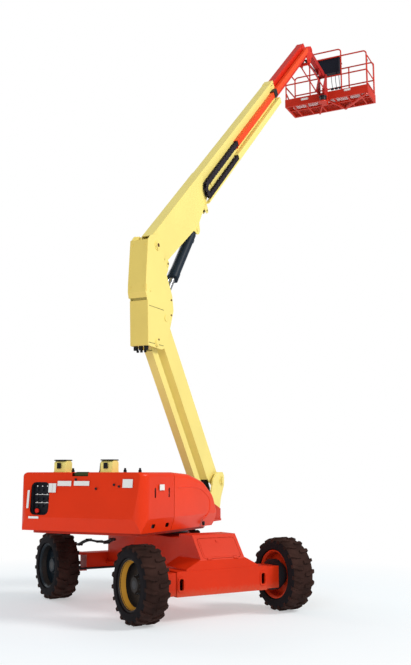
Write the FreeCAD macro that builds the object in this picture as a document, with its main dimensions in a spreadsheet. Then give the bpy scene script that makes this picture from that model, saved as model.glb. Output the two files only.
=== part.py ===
"""Self-propelled boom lift with a parallelogram tower, a telescopic boom and a jib.

Millimetres, +Z up.  The origin is on the floor below the slewing axis, +X points where the
booms point and +Y to their left.  The chassis stands turned below them by the slew angle.
"""
import FreeCAD, Part
import math
import os
import re

import Sketcher
from FreeCAD import Placement, Rotation, Vector

doc = FreeCAD.newDocument("boom_lift")

# ---------------------------------------------------------------- driving dimensions
DIMENSIONS = {
    # chassis, in its own frame: x forward to the steered axle, y to the left
    "slew_angle": 58,
    "back_axle": -1600,
    "front_axle": 900,
    "half_track": 1040,
    "tyre_radius": 457,
    "tyre_half": 170,
    "frame_half": 310,
    "frame_low": 440,
    "frame_top": 930,
    "frame_front": 785,
    "box_top": 985,
    "beam_low": 300,
    "beam_top": 590,
    "beam_half": 840,
    "axle_half": 640,
    "axle_low": 390,
    "axle_top": 610,
    "kingpin": 810,
    "arm_back": 190,
    "rod_height": 412,
    # turntable
    "deck_low": 1000,
    "deck_thick": 30,
    "tail_back": 1850,
    "seam": 1090,
    "nose": 180,
    "hood_half": 905,
    "hood_low": 1035,
    "hood_top": 1745,
    "crease": 1200,
    "hinge_half": 245,
    "channel_half": 205,
    "skin": 8,
    # tower: a boom and a link that keep the upright level
    "tower_x": 1850,
    "tower_z": 1610,
    "tower_angle": 127.4,
    "tower_length": 2936,
    "link_back": 150,
    "link_drop": 450,
    "tower_half": 118,
    "tower_deep": 270,
    "upright_half": 140,
    # main boom: the base section with the fly section inside it
    "pivot_x": -211,
    "pivot_z": 4962,
    "boom_angle": 42.46,
    "base_length": 6640,
    "boom_half": 82,
    "boom_top": 140,
    "boom_low": 240,
    "wall": 8,
    "fly_start": 2850,
    "fly_end": 9250,
    "fly_half": 68,
    "head_reach": 9350,
    "head_drop": 100,
    "strand_high": 50,
    "track_radius": 105,
    "track_half": 44,
    "push_start": 3850,
    "tray_start": 3700,
    "track_bend": 2200,
    "track_pitch": 75,
    # jib, its link and the platform
    "jib_x": 7080,
    "jib_z": 11360,
    "jib_slope": 8,
    "jib_length": 1110,
    "jib_link_back": 220,
    "jib_link_drop": 440,
    "swing_x": 8150,
    "floor_z": 10740,
    "floor_near": 8370,
    "floor_far": 9090,
    "floor_half": 1050,
    "rail_top": 11760,
    "rail_radius": 17,
}

size = doc.addObject("Spreadsheet::Sheet", "Size")
for row, (alias, number) in enumerate(DIMENSIONS.items(), start=1):
    size.set(f"A{row}", alias)
    size.set(f"B{row}", str(number))
    size.setAlias(f"B{row}", alias)
doc.recompute()


def value(expression):
    """The number that an expression over the sheet's cells stands for."""
    result = size.evalExpression(str(expression))
    return float(getattr(result, "Value", result))


def bound(expression):
    """The same expression as the document's other objects write it."""
    def word(match):
        return "Size." + match.group() if match.group() in DIMENSIONS else match.group()
    return re.sub(r"[a-z_]+", word, str(expression))


def bind(thing, name, expression):
    thing.setExpression(name, bound(expression))


# ---------------------------------------------------------------- frames of the bodies
def frame(x, z, axis, angle):
    """A local frame: where it stands in the XZ plane and how far it is turned."""
    return {"x": x, "z": z, "axis": Vector(*axis), "angle": angle}


CHASSIS = frame("0", "0", (0, 0, 1), "slew_angle")
TOWER = frame("tower_x", "tower_z", (0, 1, 0), "-tower_angle")
BOOM = frame("pivot_x", "pivot_z", (0, 1, 0), "-boom_angle")
JIB = frame("jib_x", "jib_z", (0, 1, 0), "jib_slope")

nodes = []


def node(label, thing, local=None):
    """Names a finished sub-part, sets it in its body's frame and lists it for writing."""
    thing.Label = label
    if local:
        turn = Rotation(local["axis"], value(local["angle"]))
        thing.Placement = Placement(Vector(value(local["x"]), 0, value(local["z"])), turn)
        bind(thing, ".Placement.Base.x", local["x"])
        bind(thing, ".Placement.Base.z", local["z"])
        bind(thing, ".Placement.Rotation.Angle", local["angle"])
    nodes.append(thing)
    return thing


# ---------------------------------------------------------------- ways of making
PLANES = {"XZ": ("XZ_Plane", -1), "XY": ("XY_Plane", 1), "YZ": ("YZ_Plane", 1)}


def rule(sketch, name, kind, *terms):
    """A named dimension of a sketch, bound to an expression, which comes last."""
    index = sketch.addConstraint(Sketcher.Constraint(kind, *terms[:-1], value(terms[-1])))
    sketch.renameConstraint(index, name)
    bind(sketch, f"Constraints.{name}", terms[-1])


def outline(body, plane, corners, middle, holes=()):
    """A sketch of straight lines and round holes, each corner bound to the sheet."""
    role, sign = PLANES[plane]
    sketch = body.newObject("Sketcher::SketchObject", body.Name + "_outline")
    support = next(f for f in body.Origin.OriginFeatures if f.Role == role)
    sketch.AttachmentSupport = [(support, "")]
    sketch.MapMode = "FlatFace"
    sketch.AttachmentOffset = Placement(Vector(0, 0, sign * value(middle)), Rotation())
    bind(sketch, ".AttachmentOffset.Base.z", f"{sign} * ({middle})")
    spots = [Vector(value(a), value(b), 0) for a, b in corners]
    count = len(spots)
    for i in range(count):
        sketch.addGeometry(Part.LineSegment(spots[i], spots[(i + 1) % count]), False)
    for i in range(count):
        sketch.addConstraint(Sketcher.Constraint("Coincident", i, 2, (i + 1) % count, 1))
    for i, (a, b) in enumerate(corners):
        rule(sketch, f"a{i}", "DistanceX", -1, 1, i, 1, a)
        rule(sketch, f"b{i}", "DistanceY", -1, 1, i, 1, b)
    for i, (a, b, radius) in enumerate(holes):
        circle = Part.Circle(Vector(value(a), value(b), 0), Vector(0, 0, 1), value(radius))
        ring = sketch.addGeometry(circle, False)
        rule(sketch, f"p{i}", "DistanceX", -1, 1, ring, 3, a)
        rule(sketch, f"q{i}", "DistanceY", -1, 1, ring, 3, b)
        rule(sketch, f"r{i}", "Radius", ring, radius)
    return sketch


def plate(name, plane, corners, low, high, holes=(), rounds=()):
    """A body padded from low to high; rounds lists pairs of a radius and its corners."""
    body = doc.addObject("PartDesign::Body", name)
    sketch = outline(body, plane, corners, f"(({low}) + ({high})) / 2", holes)
    pad = body.newObject("PartDesign::Pad", name + "_pad")
    pad.Profile = sketch
    pad.Midplane = True
    bind(pad, "Length", f"({high}) - ({low})")
    body.Tip = pad
    doc.recompute()
    last = pad
    for radius, chosen in rounds:
        edges = upright_edges(body, plane, [corners[i] for i in chosen])
        fillet = body.newObject("PartDesign::Fillet", name + "_round")
        fillet.Base = (last, edges)
        bind(fillet, "Radius", radius)
        body.Tip = last = fillet
        doc.recompute()
    return body


def soften(body, radius, axis, level, keep=()):
    """Rounds the edges that lie in one plane, but for those in the planes of keep."""
    spot = {"x": 0, "y": 1, "z": 2}
    level = value(level)

    def lies(edge, along, at):
        ends = [v.Point[spot[along]] for v in edge.Vertexes] + [edge.CenterOfMass[spot[along]]]
        return all(abs(end - at) < 0.01 for end in ends)

    found = [f"Edge{n}" for n, edge in enumerate(body.Shape.Edges, start=1)
             if lies(edge, axis, level) and not any(lies(edge, k, value(at)) for k, at in keep)]
    fillet = body.newObject("PartDesign::Fillet", body.Name + "_soft")
    fillet.Base = (body.Group[-2], found)
    bind(fillet, "Radius", radius)
    body.Tip = fillet
    doc.recompute()
    return body


def common(name, base, tool):
    thing = doc.addObject("Part::Common", name)
    thing.Base = base
    thing.Tool = tool
    return thing


def tilt(thing, x, z, angle):
    """Sets a piece made flat on a plane that leans about Y, at a point of its body's frame."""
    thing.Placement = Placement(Vector(value(x), 0, value(z)), Rotation(Vector(0, 1, 0), -value(angle)))
    bind(thing, ".Placement.Base.x", x)
    bind(thing, ".Placement.Base.z", z)
    bind(thing, ".Placement.Rotation.Angle", f"-({angle})")
    return thing


def upright_edges(body, plane, corners):
    """Names the edges that stand on the given corners, square to the sketch plane."""
    across, up, along = {"XZ": (0, 2, 1), "XY": (0, 1, 2), "YZ": (1, 2, 0)}[plane]
    found = []
    for number, edge in enumerate(body.Shape.Edges, start=1):
        if len(edge.Vertexes) != 2:
            continue
        start, end = (v.Point for v in edge.Vertexes)
        if abs(abs(end[along] - start[along]) - edge.Length) > 1e-4:
            continue
        for a, b in corners:
            if abs(start[across] - value(a)) < 0.01 and abs(start[up] - value(b)) < 0.01:
                found.append(f"Edge{number}")
                break
    return found


def place(thing, x, y, z):
    for axis, expression in zip("xyz", (x, y, z)):
        setattr(thing.Placement.Base, axis, value(expression))
        bind(thing, f".Placement.Base.{axis}", expression)


def block(name, x, y, z):
    """A box between three pairs of faces."""
    thing = doc.addObject("Part::Box", name)
    for side, (low, high) in zip(("Length", "Width", "Height"), (x, y, z)):
        bind(thing, side, f"({high}) - ({low})")
    place(thing, x[0], y[0], z[0])
    return thing


TURNS = {"x": Rotation(Vector(0, 1, 0), 90), "y": Rotation(Vector(1, 0, 0), -90), "z": Rotation()}


def bar(name, axis, radius, x, y, z, length):
    """A round bar that runs along an axis from the given point."""
    thing = doc.addObject("Part::Cylinder", name)
    bind(thing, "Radius", radius)
    bind(thing, "Height", length)
    thing.Placement = Placement(Vector(), TURNS[axis])
    place(thing, x, y, z)
    return thing


def cross_pin(name, x, z, radius, half):
    """A pin along Y, as long on both sides of the middle, with a round head at each end."""
    pieces = [bar(name, "y", radius, x, f"-({half})", z, f"2 * ({half})")]
    for start in (f"({half}) - 1", f"-({half}) - 9"):
        pieces.append(bar(name + "_head", "y", f"({radius}) + 12", x, start, z, "10"))
    return pieces


def stub_pins(name, x, z, radius, near, half):
    """Two short pins, one in each side plate, with nothing across between them."""
    pieces = []
    for low, head in ((near, f"{half} - 1"), (f"-({half})", f"-({half}) - 9")):
        pieces.append(bar(name, "y", radius, x, low, z, f"{half} - ({near})"))
        pieces.append(bar(name + "_head", "y", f"{radius} + 12", x, head, z, "10"))
    return pieces


def fuse(name, pieces):
    thing = doc.addObject("Part::MultiFuse", name)
    thing.Shapes = pieces
    return thing


def cut(name, base, tools):
    thing = doc.addObject("Part::Cut", name)
    thing.Base = base
    thing.Tool = tools[0] if len(tools) == 1 else fuse(name + "_tools", tools)
    return thing


def pair(name, plane, corners, low, high, holes=(), rounds=()):
    """Two like plates, one each side of the middle plane, from low to high."""
    return [
        plate(name, plane, corners, low, high, holes, rounds),
        plate(name, plane, corners, f"-({high})", f"-({low})", holes, rounds),
    ]


def revolved(name, corners):
    """A body turned about Y from an outline of (y, radius) corners."""
    body = doc.addObject("PartDesign::Body", name)
    sketch = outline(body, "YZ", corners, "0")
    turn = body.newObject("PartDesign::Revolution", name + "_turn")
    turn.Profile = sketch
    turn.ReferenceAxis = (sketch, ["H_Axis"])
    turn.Angle = 360
    body.Tip = turn
    return body


def pipe(points, radius, bend):
    """A round tube's solid through corner points, with arcs of one bend radius."""
    edges = []
    start = points[0]
    for before, here, after in zip(points, points[1:], points[2:]):
        arrive, leave = (here - before).normalize(), (after - here).normalize()
        half = arrive.getAngle(leave) / 2
        first, last = here - arrive * bend * math.tan(half), here + leave * bend * math.tan(half)
        inward = ((first + last) / 2 - here).normalize()
        centre = here + inward * (bend / math.cos(half))
        edges.append(Part.makeLine(start, first))
        edges.append(Part.Arc(first, centre - inward * bend, last).toShape())
        start = last
    edges.append(Part.makeLine(start, points[-1]))
    ring = Part.Wire([Part.makeCircle(radius, points[0], points[1] - points[0])])
    return Part.Wire(edges).makePipeShell([ring], True, False)


def tubes(name, runs, radius, bend):
    """Bent tubes joined where they meet; each run is a list of corner points."""
    thing = doc.addObject("Part::Feature", name)
    solids = [pipe([Vector(*(value(c) for c in p)) for p in run], radius, bend) for run in runs]
    thing.Shape = solids[0].fuse(solids[1:]).removeSplitter() if len(solids) > 1 else solids[0]
    return thing


# ---------------------------------------------------------------- chassis
SLOPE = "atan2(box_top - 700; 215)"


def chassis_frame():
    """A welded box from axle to axle, with a sloped service box flared onto the back beam."""
    side = [("-1775", "beam_top"), ("-1775", "700"), ("-1560", "box_top"), ("-1250", "box_top"),
            ("-1250", "beam_top")]
    back = [("-520", "beam_top"), ("-520", "beam_top + 20"), ("-frame_half - 6", "715"),
            ("-frame_half - 6", "box_top"), ("frame_half + 6", "box_top"), ("frame_half + 6", "715"),
            ("520", "beam_top + 20"), ("520", "beam_top")]
    box = common("service_box", plate("box_side", "XZ", side, "-520", "520"),
                 plate("box_back", "YZ", back, "-1775", "-1250"))
    profile = [("-1300", "frame_low + 60"), ("-1300", "frame_top"), ("frame_front", "frame_top"),
               ("frame_front", "frame_low"), ("-1180", "frame_low")]
    spine = plate("spine", "XZ", profile, "-frame_half", "frame_half")
    seat = bar("ring_seat", "z", "500", "0", "0", "frame_top - 24", "24")
    ledges = [block("ledge", ("-1240", "frame_front"), span, ("frame_low + 20", "frame_low + 44"))
              for span in (("-frame_half - 34", "-frame_half + 4"), ("frame_half - 4", "frame_half + 34"))]
    hollow = [("-1763", "602"), ("-1763", "696"), ("-1553", "973"), ("-1262", "973"),
              ("-1262", "frame_top - 34"), ("frame_front - 12", "frame_top - 34"),
              ("frame_front - 12", "frame_low + 12"), ("-1288", "frame_low + 12"), ("-1288", "602")]
    inside = plate("frame_hollow", "XZ", hollow, "-frame_half + 12", "frame_half - 12")
    opening = plate("hatch_opening", "XY", [("19", "-275"), ("309", "-275"), ("309", "275"), ("19", "275")],
                    "-30", "20", rounds=((44, (0, 1, 2, 3)),))
    port = bar("hose_port", "z", "150", "0", "0", "frame_top - 80", "120")
    whole = fuse("frame_outside", [box, spine, seat] + ledges)
    tools = [inside, tilt(opening, "-1775", "700", SLOPE), port]
    return node("chassis_frame", cut("chassis_frame", whole, tools), CHASSIS)


def rear_beam():
    """The wide hollow cross beam of the fixed axle, its ends drawn in where the wheels take them."""
    middle = block("beam_middle", ("back_axle - 180", "back_axle + 180"), ("-650", "650"),
                   ("beam_low", "beam_top"))
    ends = block("beam_ends", ("back_axle - 168", "back_axle + 168"), ("-beam_half", "beam_half"),
                 ("beam_low + 12", "beam_top - 12"))
    tools = [block("beam_hollow", ("back_axle - 158", "back_axle + 158"),
                   ("-beam_half + 12", "beam_half - 12"), ("beam_low + 22", "beam_top - 22"))]
    frames = []
    for y in ("-590", "590"):
        rim = [(f"{y} - 48", "beam_low + 55"), (f"{y} + 48", "beam_low + 55"),
               (f"{y} + 48", "beam_low + 225"), (f"{y} - 48", "beam_low + 225")]
        hole = [(f"{y} - 30", "beam_low + 73"), (f"{y} + 30", "beam_low + 73"),
                (f"{y} + 30", "beam_low + 207"), (f"{y} - 30", "beam_low + 207")]
        frames.append(plate("slot_rim", "YZ", rim, "back_axle - 188", "back_axle - 160",
                            rounds=((34, (0, 1, 2, 3)),)))
        tools.append(plate("slot_hole", "YZ", hole, "back_axle - 200", "back_axle - 150",
                           rounds=((26, (0, 1, 2, 3)),)))
    whole = fuse("beam_solid", [middle, ends] + frames)
    return node("rear_beam", cut("rear_beam", whole, tools), CHASSIS)


def drive_hubs():
    """Two hub drives on the ends of the back beam, each with the stub that carries a wheel."""
    pieces = []
    for side in (1, -1):
        casing = revolved("hub_casing", [("beam_half - 1040", "0"), ("beam_half - 1040", "190"),
                                         ("beam_half - 960", "190"), ("beam_half - 935", "150"),
                                         ("-60", "150"), ("-30", "120"), ("-30", "45"), ("60", "45"),
                                         ("60", "0")])
        casing.Placement = Placement(Vector(), Rotation(Vector(0, 0, 1), 0 if side > 0 else 180))
        place(casing, "back_axle", f"{side} * half_track", "tyre_radius")
        pieces.append(casing)
    return node("drive_hubs", fuse("drive_hubs", pieces), CHASSIS)


def front_axle():
    """The steered axle's hollow beam, with a yoke and a kingpin at each end."""
    outside = block("axle_outside", ("front_axle - 110", "front_axle + 110"),
                    ("-axle_half", "axle_half"), ("axle_low", "axle_top"))
    hollow = block("axle_hollow", ("front_axle - 98", "front_axle + 98"),
                   ("-axle_half + 12", "axle_half - 12"), ("axle_low + 12", "axle_top - 12"))
    pieces = [cut("axle_beam", outside, [hollow])]
    for side in (1, -1):
        yoke = [("front_axle - 108", f"{side} * (axle_half - 6)"),
                ("front_axle - 62", f"{side} * (kingpin + 64)"),
                ("front_axle + 62", f"{side} * (kingpin + 64)"),
                ("front_axle + 108", f"{side} * (axle_half - 6)")]
        for z in ("axle_low - 25", "axle_top - 25"):
            pieces.append(plate("yoke", "XY", yoke, z, f"{z} + 28", rounds=((58, (1, 2)),)))
        y = f"{side} * kingpin"
        pieces.append(bar("kingpin", "z", "30", "front_axle", y, "axle_low - 30", "axle_top - axle_low + 50"))
    pieces.append(block("axle_pad", ("frame_front", "front_axle - 108"),
                        ("-frame_half + 20", "frame_half - 20"), ("axle_low + 60", "axle_top - 10")))
    return node("front_axle", fuse("front_axle", pieces), CHASSIS)


def knuckle(side, label):
    """A steering knuckle: a boss on the kingpin, the wheel's stub and the steering arm."""
    y = "kingpin" if side > 0 else "-kingpin"
    boss = bar("boss", "z", "60", "front_axle", y, "axle_low + 8", "axle_top - axle_low - 38")
    start = "kingpin" if side > 0 else "-half_track + 30"
    neck = bar("neck", "y", "52", "front_axle", start, "tyre_radius", "half_track - 30 - kingpin")
    start = "kingpin + 72" if side > 0 else "-half_track + 30"
    hub = bar("hub", "y", "85", "front_axle", start, "tyre_radius", "half_track - 102 - kingpin")
    start = "half_track - 31" if side > 0 else "-half_track - 60"
    stub = bar("stub", "y", "45", "front_axle", start, "tyre_radius", "91")
    arm = block("arm", ("front_axle - arm_back - 35", "front_axle"),
                (f"{y} - 30", f"{y} + 30"), ("rod_height + 12", "rod_height + 36"))
    ball = bar("ball", "z", "12", "front_axle - arm_back", y, "rod_height - 20", "40")
    bore = bar("bore", "z", "30.1", "front_axle", y, "axle_low", "axle_top - axle_low")
    return node(label, cut(label, fuse(label + "_solid", [boss, neck, hub, stub, arm, ball]), [bore]),
                CHASSIS)


def tie_rod():
    """The rod between the two steering arms, with an eye at each end."""
    x = "front_axle - arm_back"
    rod = bar("rod", "y", "15", x, "-kingpin", "rod_height - 6", "2 * kingpin")
    eyes = [bar("eye", "z", "26", x, y, "rod_height - 20", "26") for y in ("kingpin", "-kingpin")]
    bores = [bar("eye_bore", "z", "12.5", x, y, "rod_height - 30", "60")
             for y in ("kingpin", "-kingpin")]
    return node("tie_rod", cut("tie_rod", fuse("tie_rod_solid", [rod] + eyes), bores), CHASSIS)


def slew_ring():
    """The slewing bearing's fixed ring on the chassis."""
    ring = bar("ring", "z", "480", "0", "0", "frame_top", "deck_low - frame_top - 5")
    hole = bar("ring_hole", "z", "360", "0", "0", "frame_top - 5", "100")
    return node("slew_ring", cut("slew_ring", ring, [hole]), CHASSIS)


def rear_hatch():
    """The sloped service door, hinged along its lower edge, with a pressed panel and a latch."""
    door = plate("hatch_panel", "XY", [("24", "-270"), ("304", "-270"), ("304", "270"), ("24", "270")],
                 "-5", "0", rounds=((40, (0, 1, 2, 3)),))
    press = plate("hatch_press", "XY", [("44", "-250"), ("284", "-250"), ("284", "250"), ("44", "250")],
                  "-1", "3", rounds=((30, (0, 1, 2, 3)),))
    latch = plate("latch", "XY", [("240", "-14"), ("276", "-14"), ("276", "14"), ("240", "14")],
                  "0", "9", rounds=((8, (0, 1, 2, 3)),))
    leaves = [block("hinge_leaf", ("8", "40"), span, ("0", "4"))
              for span in (("-220", "-160"), ("160", "220"))]
    knuckles = [bar("hinge_knuckle", "y", "7", "8", y, "7.5", "60") for y in ("-220", "160")]
    flats = [fuse("hatch_door", [door, press, latch]), fuse("hatch_hinges", leaves + knuckles)]
    return node("rear_hatch", fuse("rear_hatch", [tilt(flat, "-1775", "700", SLOPE) for flat in flats]),
                CHASSIS)


TYRE = [("-128", "290"), ("-150", "306"), ("-tyre_half", "370"), ("-166", "415"),
        ("-128", "tyre_radius - 4"), ("0", "tyre_radius"), ("128", "tyre_radius - 4"), ("166", "415"),
        ("tyre_half", "370"), ("150", "306"), ("128", "290")]
RIM = [("-146", "301"), ("-146", "289"), ("-122", "272"), ("-8", "272"), ("-8", "150"), ("-20", "150"),
       ("-20", "45.1"), ("65", "45.1"), ("65", "0"), ("84", "0"), ("84", "88"), ("16", "118"),
       ("8", "272"), ("122", "272"), ("146", "289"), ("146", "301"), ("127", "288"), ("-127", "288")]


def wheel(axle, side, name):
    """A rim with its hub, and the solid-filled tyre on it; the hub's cap faces outwards."""
    half_turn = 0 if side > 0 else 180
    for label, section in ((name + "_tyre", TYRE), (name + "_rim", RIM)):
        turned = revolved(label + "_section", section)
        turned.Placement = Placement(Vector(), Rotation(Vector(0, 0, 1), 1))
        place(turned, f"({axle}) * cos(slew_angle) - {side} * half_track * sin(slew_angle)",
              f"({axle}) * sin(slew_angle) + {side} * half_track * cos(slew_angle)", "tyre_radius")
        bind(turned, ".Placement.Rotation.Angle", f"slew_angle + {half_turn}")
        node(label, turned)


# ---------------------------------------------------------------- turntable
def turntable_deck():
    """The deck plate with the two long walls of the channel that the tower folds into."""
    corners = [("-tail_back + 110", "-hood_half + 100"), ("-60", "-hood_half + 100"), ("200", "-700"),
               ("430", "-480"), ("900", "-300"), ("1760", "-channel_half - 22"),
               ("1760", "channel_half + 22"),
               ("900", "300"), ("430", "480"), ("200", "700"), ("-60", "hood_half - 100"),
               ("-tail_back + 110", "hood_half - 100")]
    deck = plate("deck", "XY", corners, "deck_low", "deck_low + deck_thick",
                 rounds=((130, (0, 11)), (200, (1, 2, 9, 10)), (300, (3, 8))))
    deep = "deck_low + deck_thick"
    wall = [("-1650", deep), ("-1650", "1640"), ("-1150", "1690"), ("-320", "1690"), ("420", "1400"),
            ("1340", "1330"), ("1760", "1180"), ("1760", deep)]
    walls = pair("channel_wall", "XZ", wall, "channel_half", "channel_half + 12",
                 rounds=((90, (2, 3)), (160, (4, 5))))
    ribs = [block("cross_rib", (x, f"{x} + 12"), ("-channel_half", "channel_half"),
                  ("deck_low + 20", "deck_low + 58")) for x in ("620", "1180")]
    hinges = []
    for side in (1, -1):
        hinges += [bar("hinge_seat", "x", "9", x, f"{side} * (hinge_half - 12)", "hood_top - 12", "48")
                   for x in ("-1054", "-934")]
        y = ("channel_half", "hinge_half - 16") if side > 0 else ("-hinge_half + 16", "-channel_half")
        hinges += [block("hinge_arm", (x, f"{x} + 44"), y, ("hood_top - 62", "hood_top - 9"))
                   for x in ("-1052", "-932")]
    return node("turntable_deck", fuse("turntable_deck", [deck] + walls + ribs + hinges))


def tower_pedestal():
    """Two ears on the deck that carry the pins of the tower boom and of its link."""
    deep = "deck_low + deck_thick"
    ear = [("1330", deep), ("1430", "1290"), ("1560", "1640"), ("1700", "1745"), ("1900", "1745"),
           ("1950", "1690"), ("1950", "1540"), ("1840", "1360"), ("1745", deep)]
    ears = pair("ear", "XZ", ear, "165", "190", rounds=((60, (3, 4, 5, 6)), (150, (2,))))
    link = link_pin_on_deck()
    bosses = []
    for y in ("188", "-200"):
        bosses.append(bar("tower_boss", "y", "72", "tower_x", y, "tower_z", "12"))
        bosses.append(bar("link_boss", "y", "56", link[0], y, link[1], "12"))
    pins = cross_pin("tower_pin", "tower_x", "tower_z", "35", "208")
    pins += cross_pin("link_pin", link[0], link[1], "28", "194")
    lugs = pair("cylinder_lug", "XZ", [("1650", deep), ("1715", "1440"), ("1760", "1470"), ("1805", "1440"),
                                       ("1850", deep)], "62", "76", rounds=((40, (1, 2, 3)),))
    pins += cross_pin("cylinder_pin", "1760", "1415", "22", "80")
    foot = block("pedestal_foot", ("1400", "1740"), ("-165", "165"), (deep, f"{deep} + 14"))
    front = block("pedestal_front", ("1720", "1734"), ("-167", "167"), (deep, "1300"))
    keepers = [block("keeper", ("tower_x - 14", "tower_x + 14"), y, ("tower_z - 62", "tower_z + 62"))
               for y in (("210", "220"), ("-220", "-210"))]
    pieces = ears + bosses + pins + lugs + [foot, front] + keepers
    return node("tower_pedestal", fuse("tower_pedestal", pieces))


def link_pin_on_deck():
    """Where the link's lower pin stands, from the tower boom's pin."""
    x = "tower_x - link_back * cos(tower_angle) - link_drop * sin(tower_angle)"
    z = "tower_z - link_back * sin(tower_angle) + link_drop * cos(tower_angle)"
    return x, z


def under_cut(name, inset, low):
    """The form that draws the turntable's covers in below their crease, all round."""
    back = [(f"-hood_half + 48 + {inset}", low), (f"-hood_half + {inset}", "crease"),
            (f"-hood_half + {inset}", "hood_top + 20"), (f"hood_half - {inset}", "hood_top + 20"),
            (f"hood_half - {inset}", "crease"), (f"hood_half - 48 - {inset}", low)]
    return plate(name, "YZ", back, "-tail_back - 40", "nose + 40")


def tail_casing():
    """The deep moulded tail: a thin shell with round corners, open below and to the channel."""
    forms = []
    for name, inset, low in (("tail_outer", "0", "hood_low"), ("tail_inner", "skin", "hood_low - 20")):
        front = "-seam" if inset == "0" else "-seam + 20"
        plan = [(f"-tail_back - 20 + {inset}", f"-hood_half + {inset}"), (front, f"-hood_half + {inset}"),
                (front, f"hood_half - {inset}"), (f"-tail_back - 20 + {inset}", f"hood_half - {inset}")]
        form = plate(name, "XY", plan, low, f"hood_top - {inset}", rounds=((f"165 - {inset}", (0, 3)),))
        soften(form, f"55 - {inset}", "z", f"hood_top - {inset}", (("x", front),))
        lean = [(f"-tail_back + 30 + {inset}", low), (f"-tail_back - 20 + {inset}", "crease"),
                (f"-tail_back + 22 + {inset}", "hood_top + 20"), ("-seam + 20", "hood_top + 20"),
                ("-seam + 20", low)]
        form = common(name + "_leant", form, plate(name + "_lean", "XZ", lean, "-960", "960"))
        forms.append(common(name + "_drawn", form, under_cut(name + "_under", inset, low)))
    tools = [forms[1]]
    tools.append(block("tail_channel", ("-tail_back + 120", "-seam + 10"),
                       ("-channel_half - 12", "channel_half + 12"), ("hood_top - 90", "hood_top + 10")))
    tools.append(block("tail_notch", ("-tail_back - 40", "-tail_back + 130"), ("-118", "118"),
                       ("hood_top - 48", "hood_top + 10")))
    window = [("435", "1225"), ("715", "1225"), ("715", "1625"), ("435", "1625")]
    tools.append(plate("control_window", "YZ", window, "-tail_back - 40", "-tail_back + 60",
                       rounds=((70, (0, 1, 2, 3)),)))
    for x in ("-1570", "-1220"):
        vent = [(f"{x} - 17", "1440"), (f"{x} + 17", "1440"), (f"{x} + 17", "1560"), (f"{x} - 17", "1560")]
        tools += pair("vent", "XZ", vent, "hood_half - 30", "hood_half + 20", rounds=((15, (0, 1, 2, 3)),))
        dent = [(f"{x} - 45", "1085"), (f"{x} + 45", "1085"), (f"{x} + 45", "1135"), (f"{x} - 45", "1135")]
        tools += pair("dent", "XZ", dent, "hood_half - 60", "hood_half + 20", rounds=((18, (0, 1, 2, 3)),))
    return node("tail_casing", cut("tail_casing", forms[0], tools))


def counterweight():
    """The cast ballast inside the tail, left and right of the channel."""
    pieces = [block("ballast", ("-tail_back + 100", "-tail_back + 420"), span,
                    ("hood_low + 5", "hood_top - 200"))
              for span in (("channel_half + 25", "hood_half - 60"),
                           ("-hood_half + 60", "-channel_half - 25"))]
    return node("counterweight", fuse("counterweight", pieces))


def hood(side, label):
    """A one-piece side hood with a rounded nose, hinged along its upper inner edge."""
    forms = []
    for name, inset in (("outer", "0"), ("inner", "skin")):
        name = label + "_" + name
        back = "-seam + 10" if inset == "0" else "-seam - 10"
        low = "hood_low" if inset == "0" else "hood_low - 20"
        profile = [(back, low), (back, f"hood_top - {inset}"), ("-640", f"hood_top - 25 - {inset}"),
                   ("-230", f"1625 - {inset}"), (f"60 - {inset}", f"1450 - {inset}"),
                   (f"nose - {inset}", "1230"), (f"nose - 20 - {inset}", "1110"), (f"90 - {inset}", low)]
        outer = f"hood_half - {inset}"
        inner = "hinge_half" if inset == "0" else "hinge_half - 20"
        span = (inner, outer) if side > 0 else (f"-({outer})", f"-({inner})")
        form = plate(name, "XZ", profile, *span,
                     rounds=((500, (2,)), (420, (3,)), (260, (4,)), (120, (5, 6))))
        soften(form, f"60 - {inset}", "y", f"{side} * ({outer})", (("x", back), ("z", low)))
        forms.append(common(name + "_drawn", form, under_cut(name + "_under", inset, low)))
    shell = cut(label + "_shell", forms[0], [forms[1]])
    hinges = [bar("hood_hinge", "x", "9", x, f"{side} * (hinge_half - 12)", "hood_top - 12", "60")
              for x in ("-1000", "-880")]
    leaves = [block("hinge_leaf", (x, f"{x} + 60"), ("hinge_half - 12", "hinge_half + 6") if side > 0 else
                    ("-hinge_half - 6", "-hinge_half + 12"), ("hood_top - 15", "hood_top - 7"))
              for x in ("-1000", "-880")]
    return node(label, fuse(label, [shell] + hinges + leaves))


def batteries():
    """The battery pack on the left of the deck, one plain block."""
    return node("battery_pack", block("battery_pack", ("-1040", "-150"), ("300", "780"),
                                      ("deck_low + deck_thick", "1480")))


def power_unit():
    """The pump and motor on the right of the deck, one plain block."""
    return node("power_unit", block("power_unit", ("-1000", "-250"), ("-760", "-320"),
                                    ("deck_low + deck_thick", "1450")))


def ground_controls():
    """The ground control station, a dark tray set behind the window in the tail's back."""
    rim = [("428", "1218"), ("722", "1218"), ("722", "1632"), ("428", "1632")]
    bowl = [("446", "1236"), ("704", "1236"), ("704", "1614"), ("446", "1614")]
    tray = plate("station_tray", "YZ", rim, "-tail_back + 28", "-tail_back + 88",
                 rounds=((76, (0, 1, 2, 3)),))
    hollow = plate("station_hollow", "YZ", bowl, "-tail_back - 10", "-tail_back + 78",
                   rounds=((60, (0, 1, 2, 3)),))
    knobs = [bar("knob", "x", "13", "-tail_back + 46", y, z, "36")
             for y in ("500", "575", "650") for z in ("1330", "1420", "1530")]
    knobs.append(bar("stop_button", "x", "26", "-tail_back + 40", "640", "1272", "40"))
    return node("ground_controls", fuse("ground_controls", [cut("tray", tray, [hollow])] + knobs))


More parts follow.
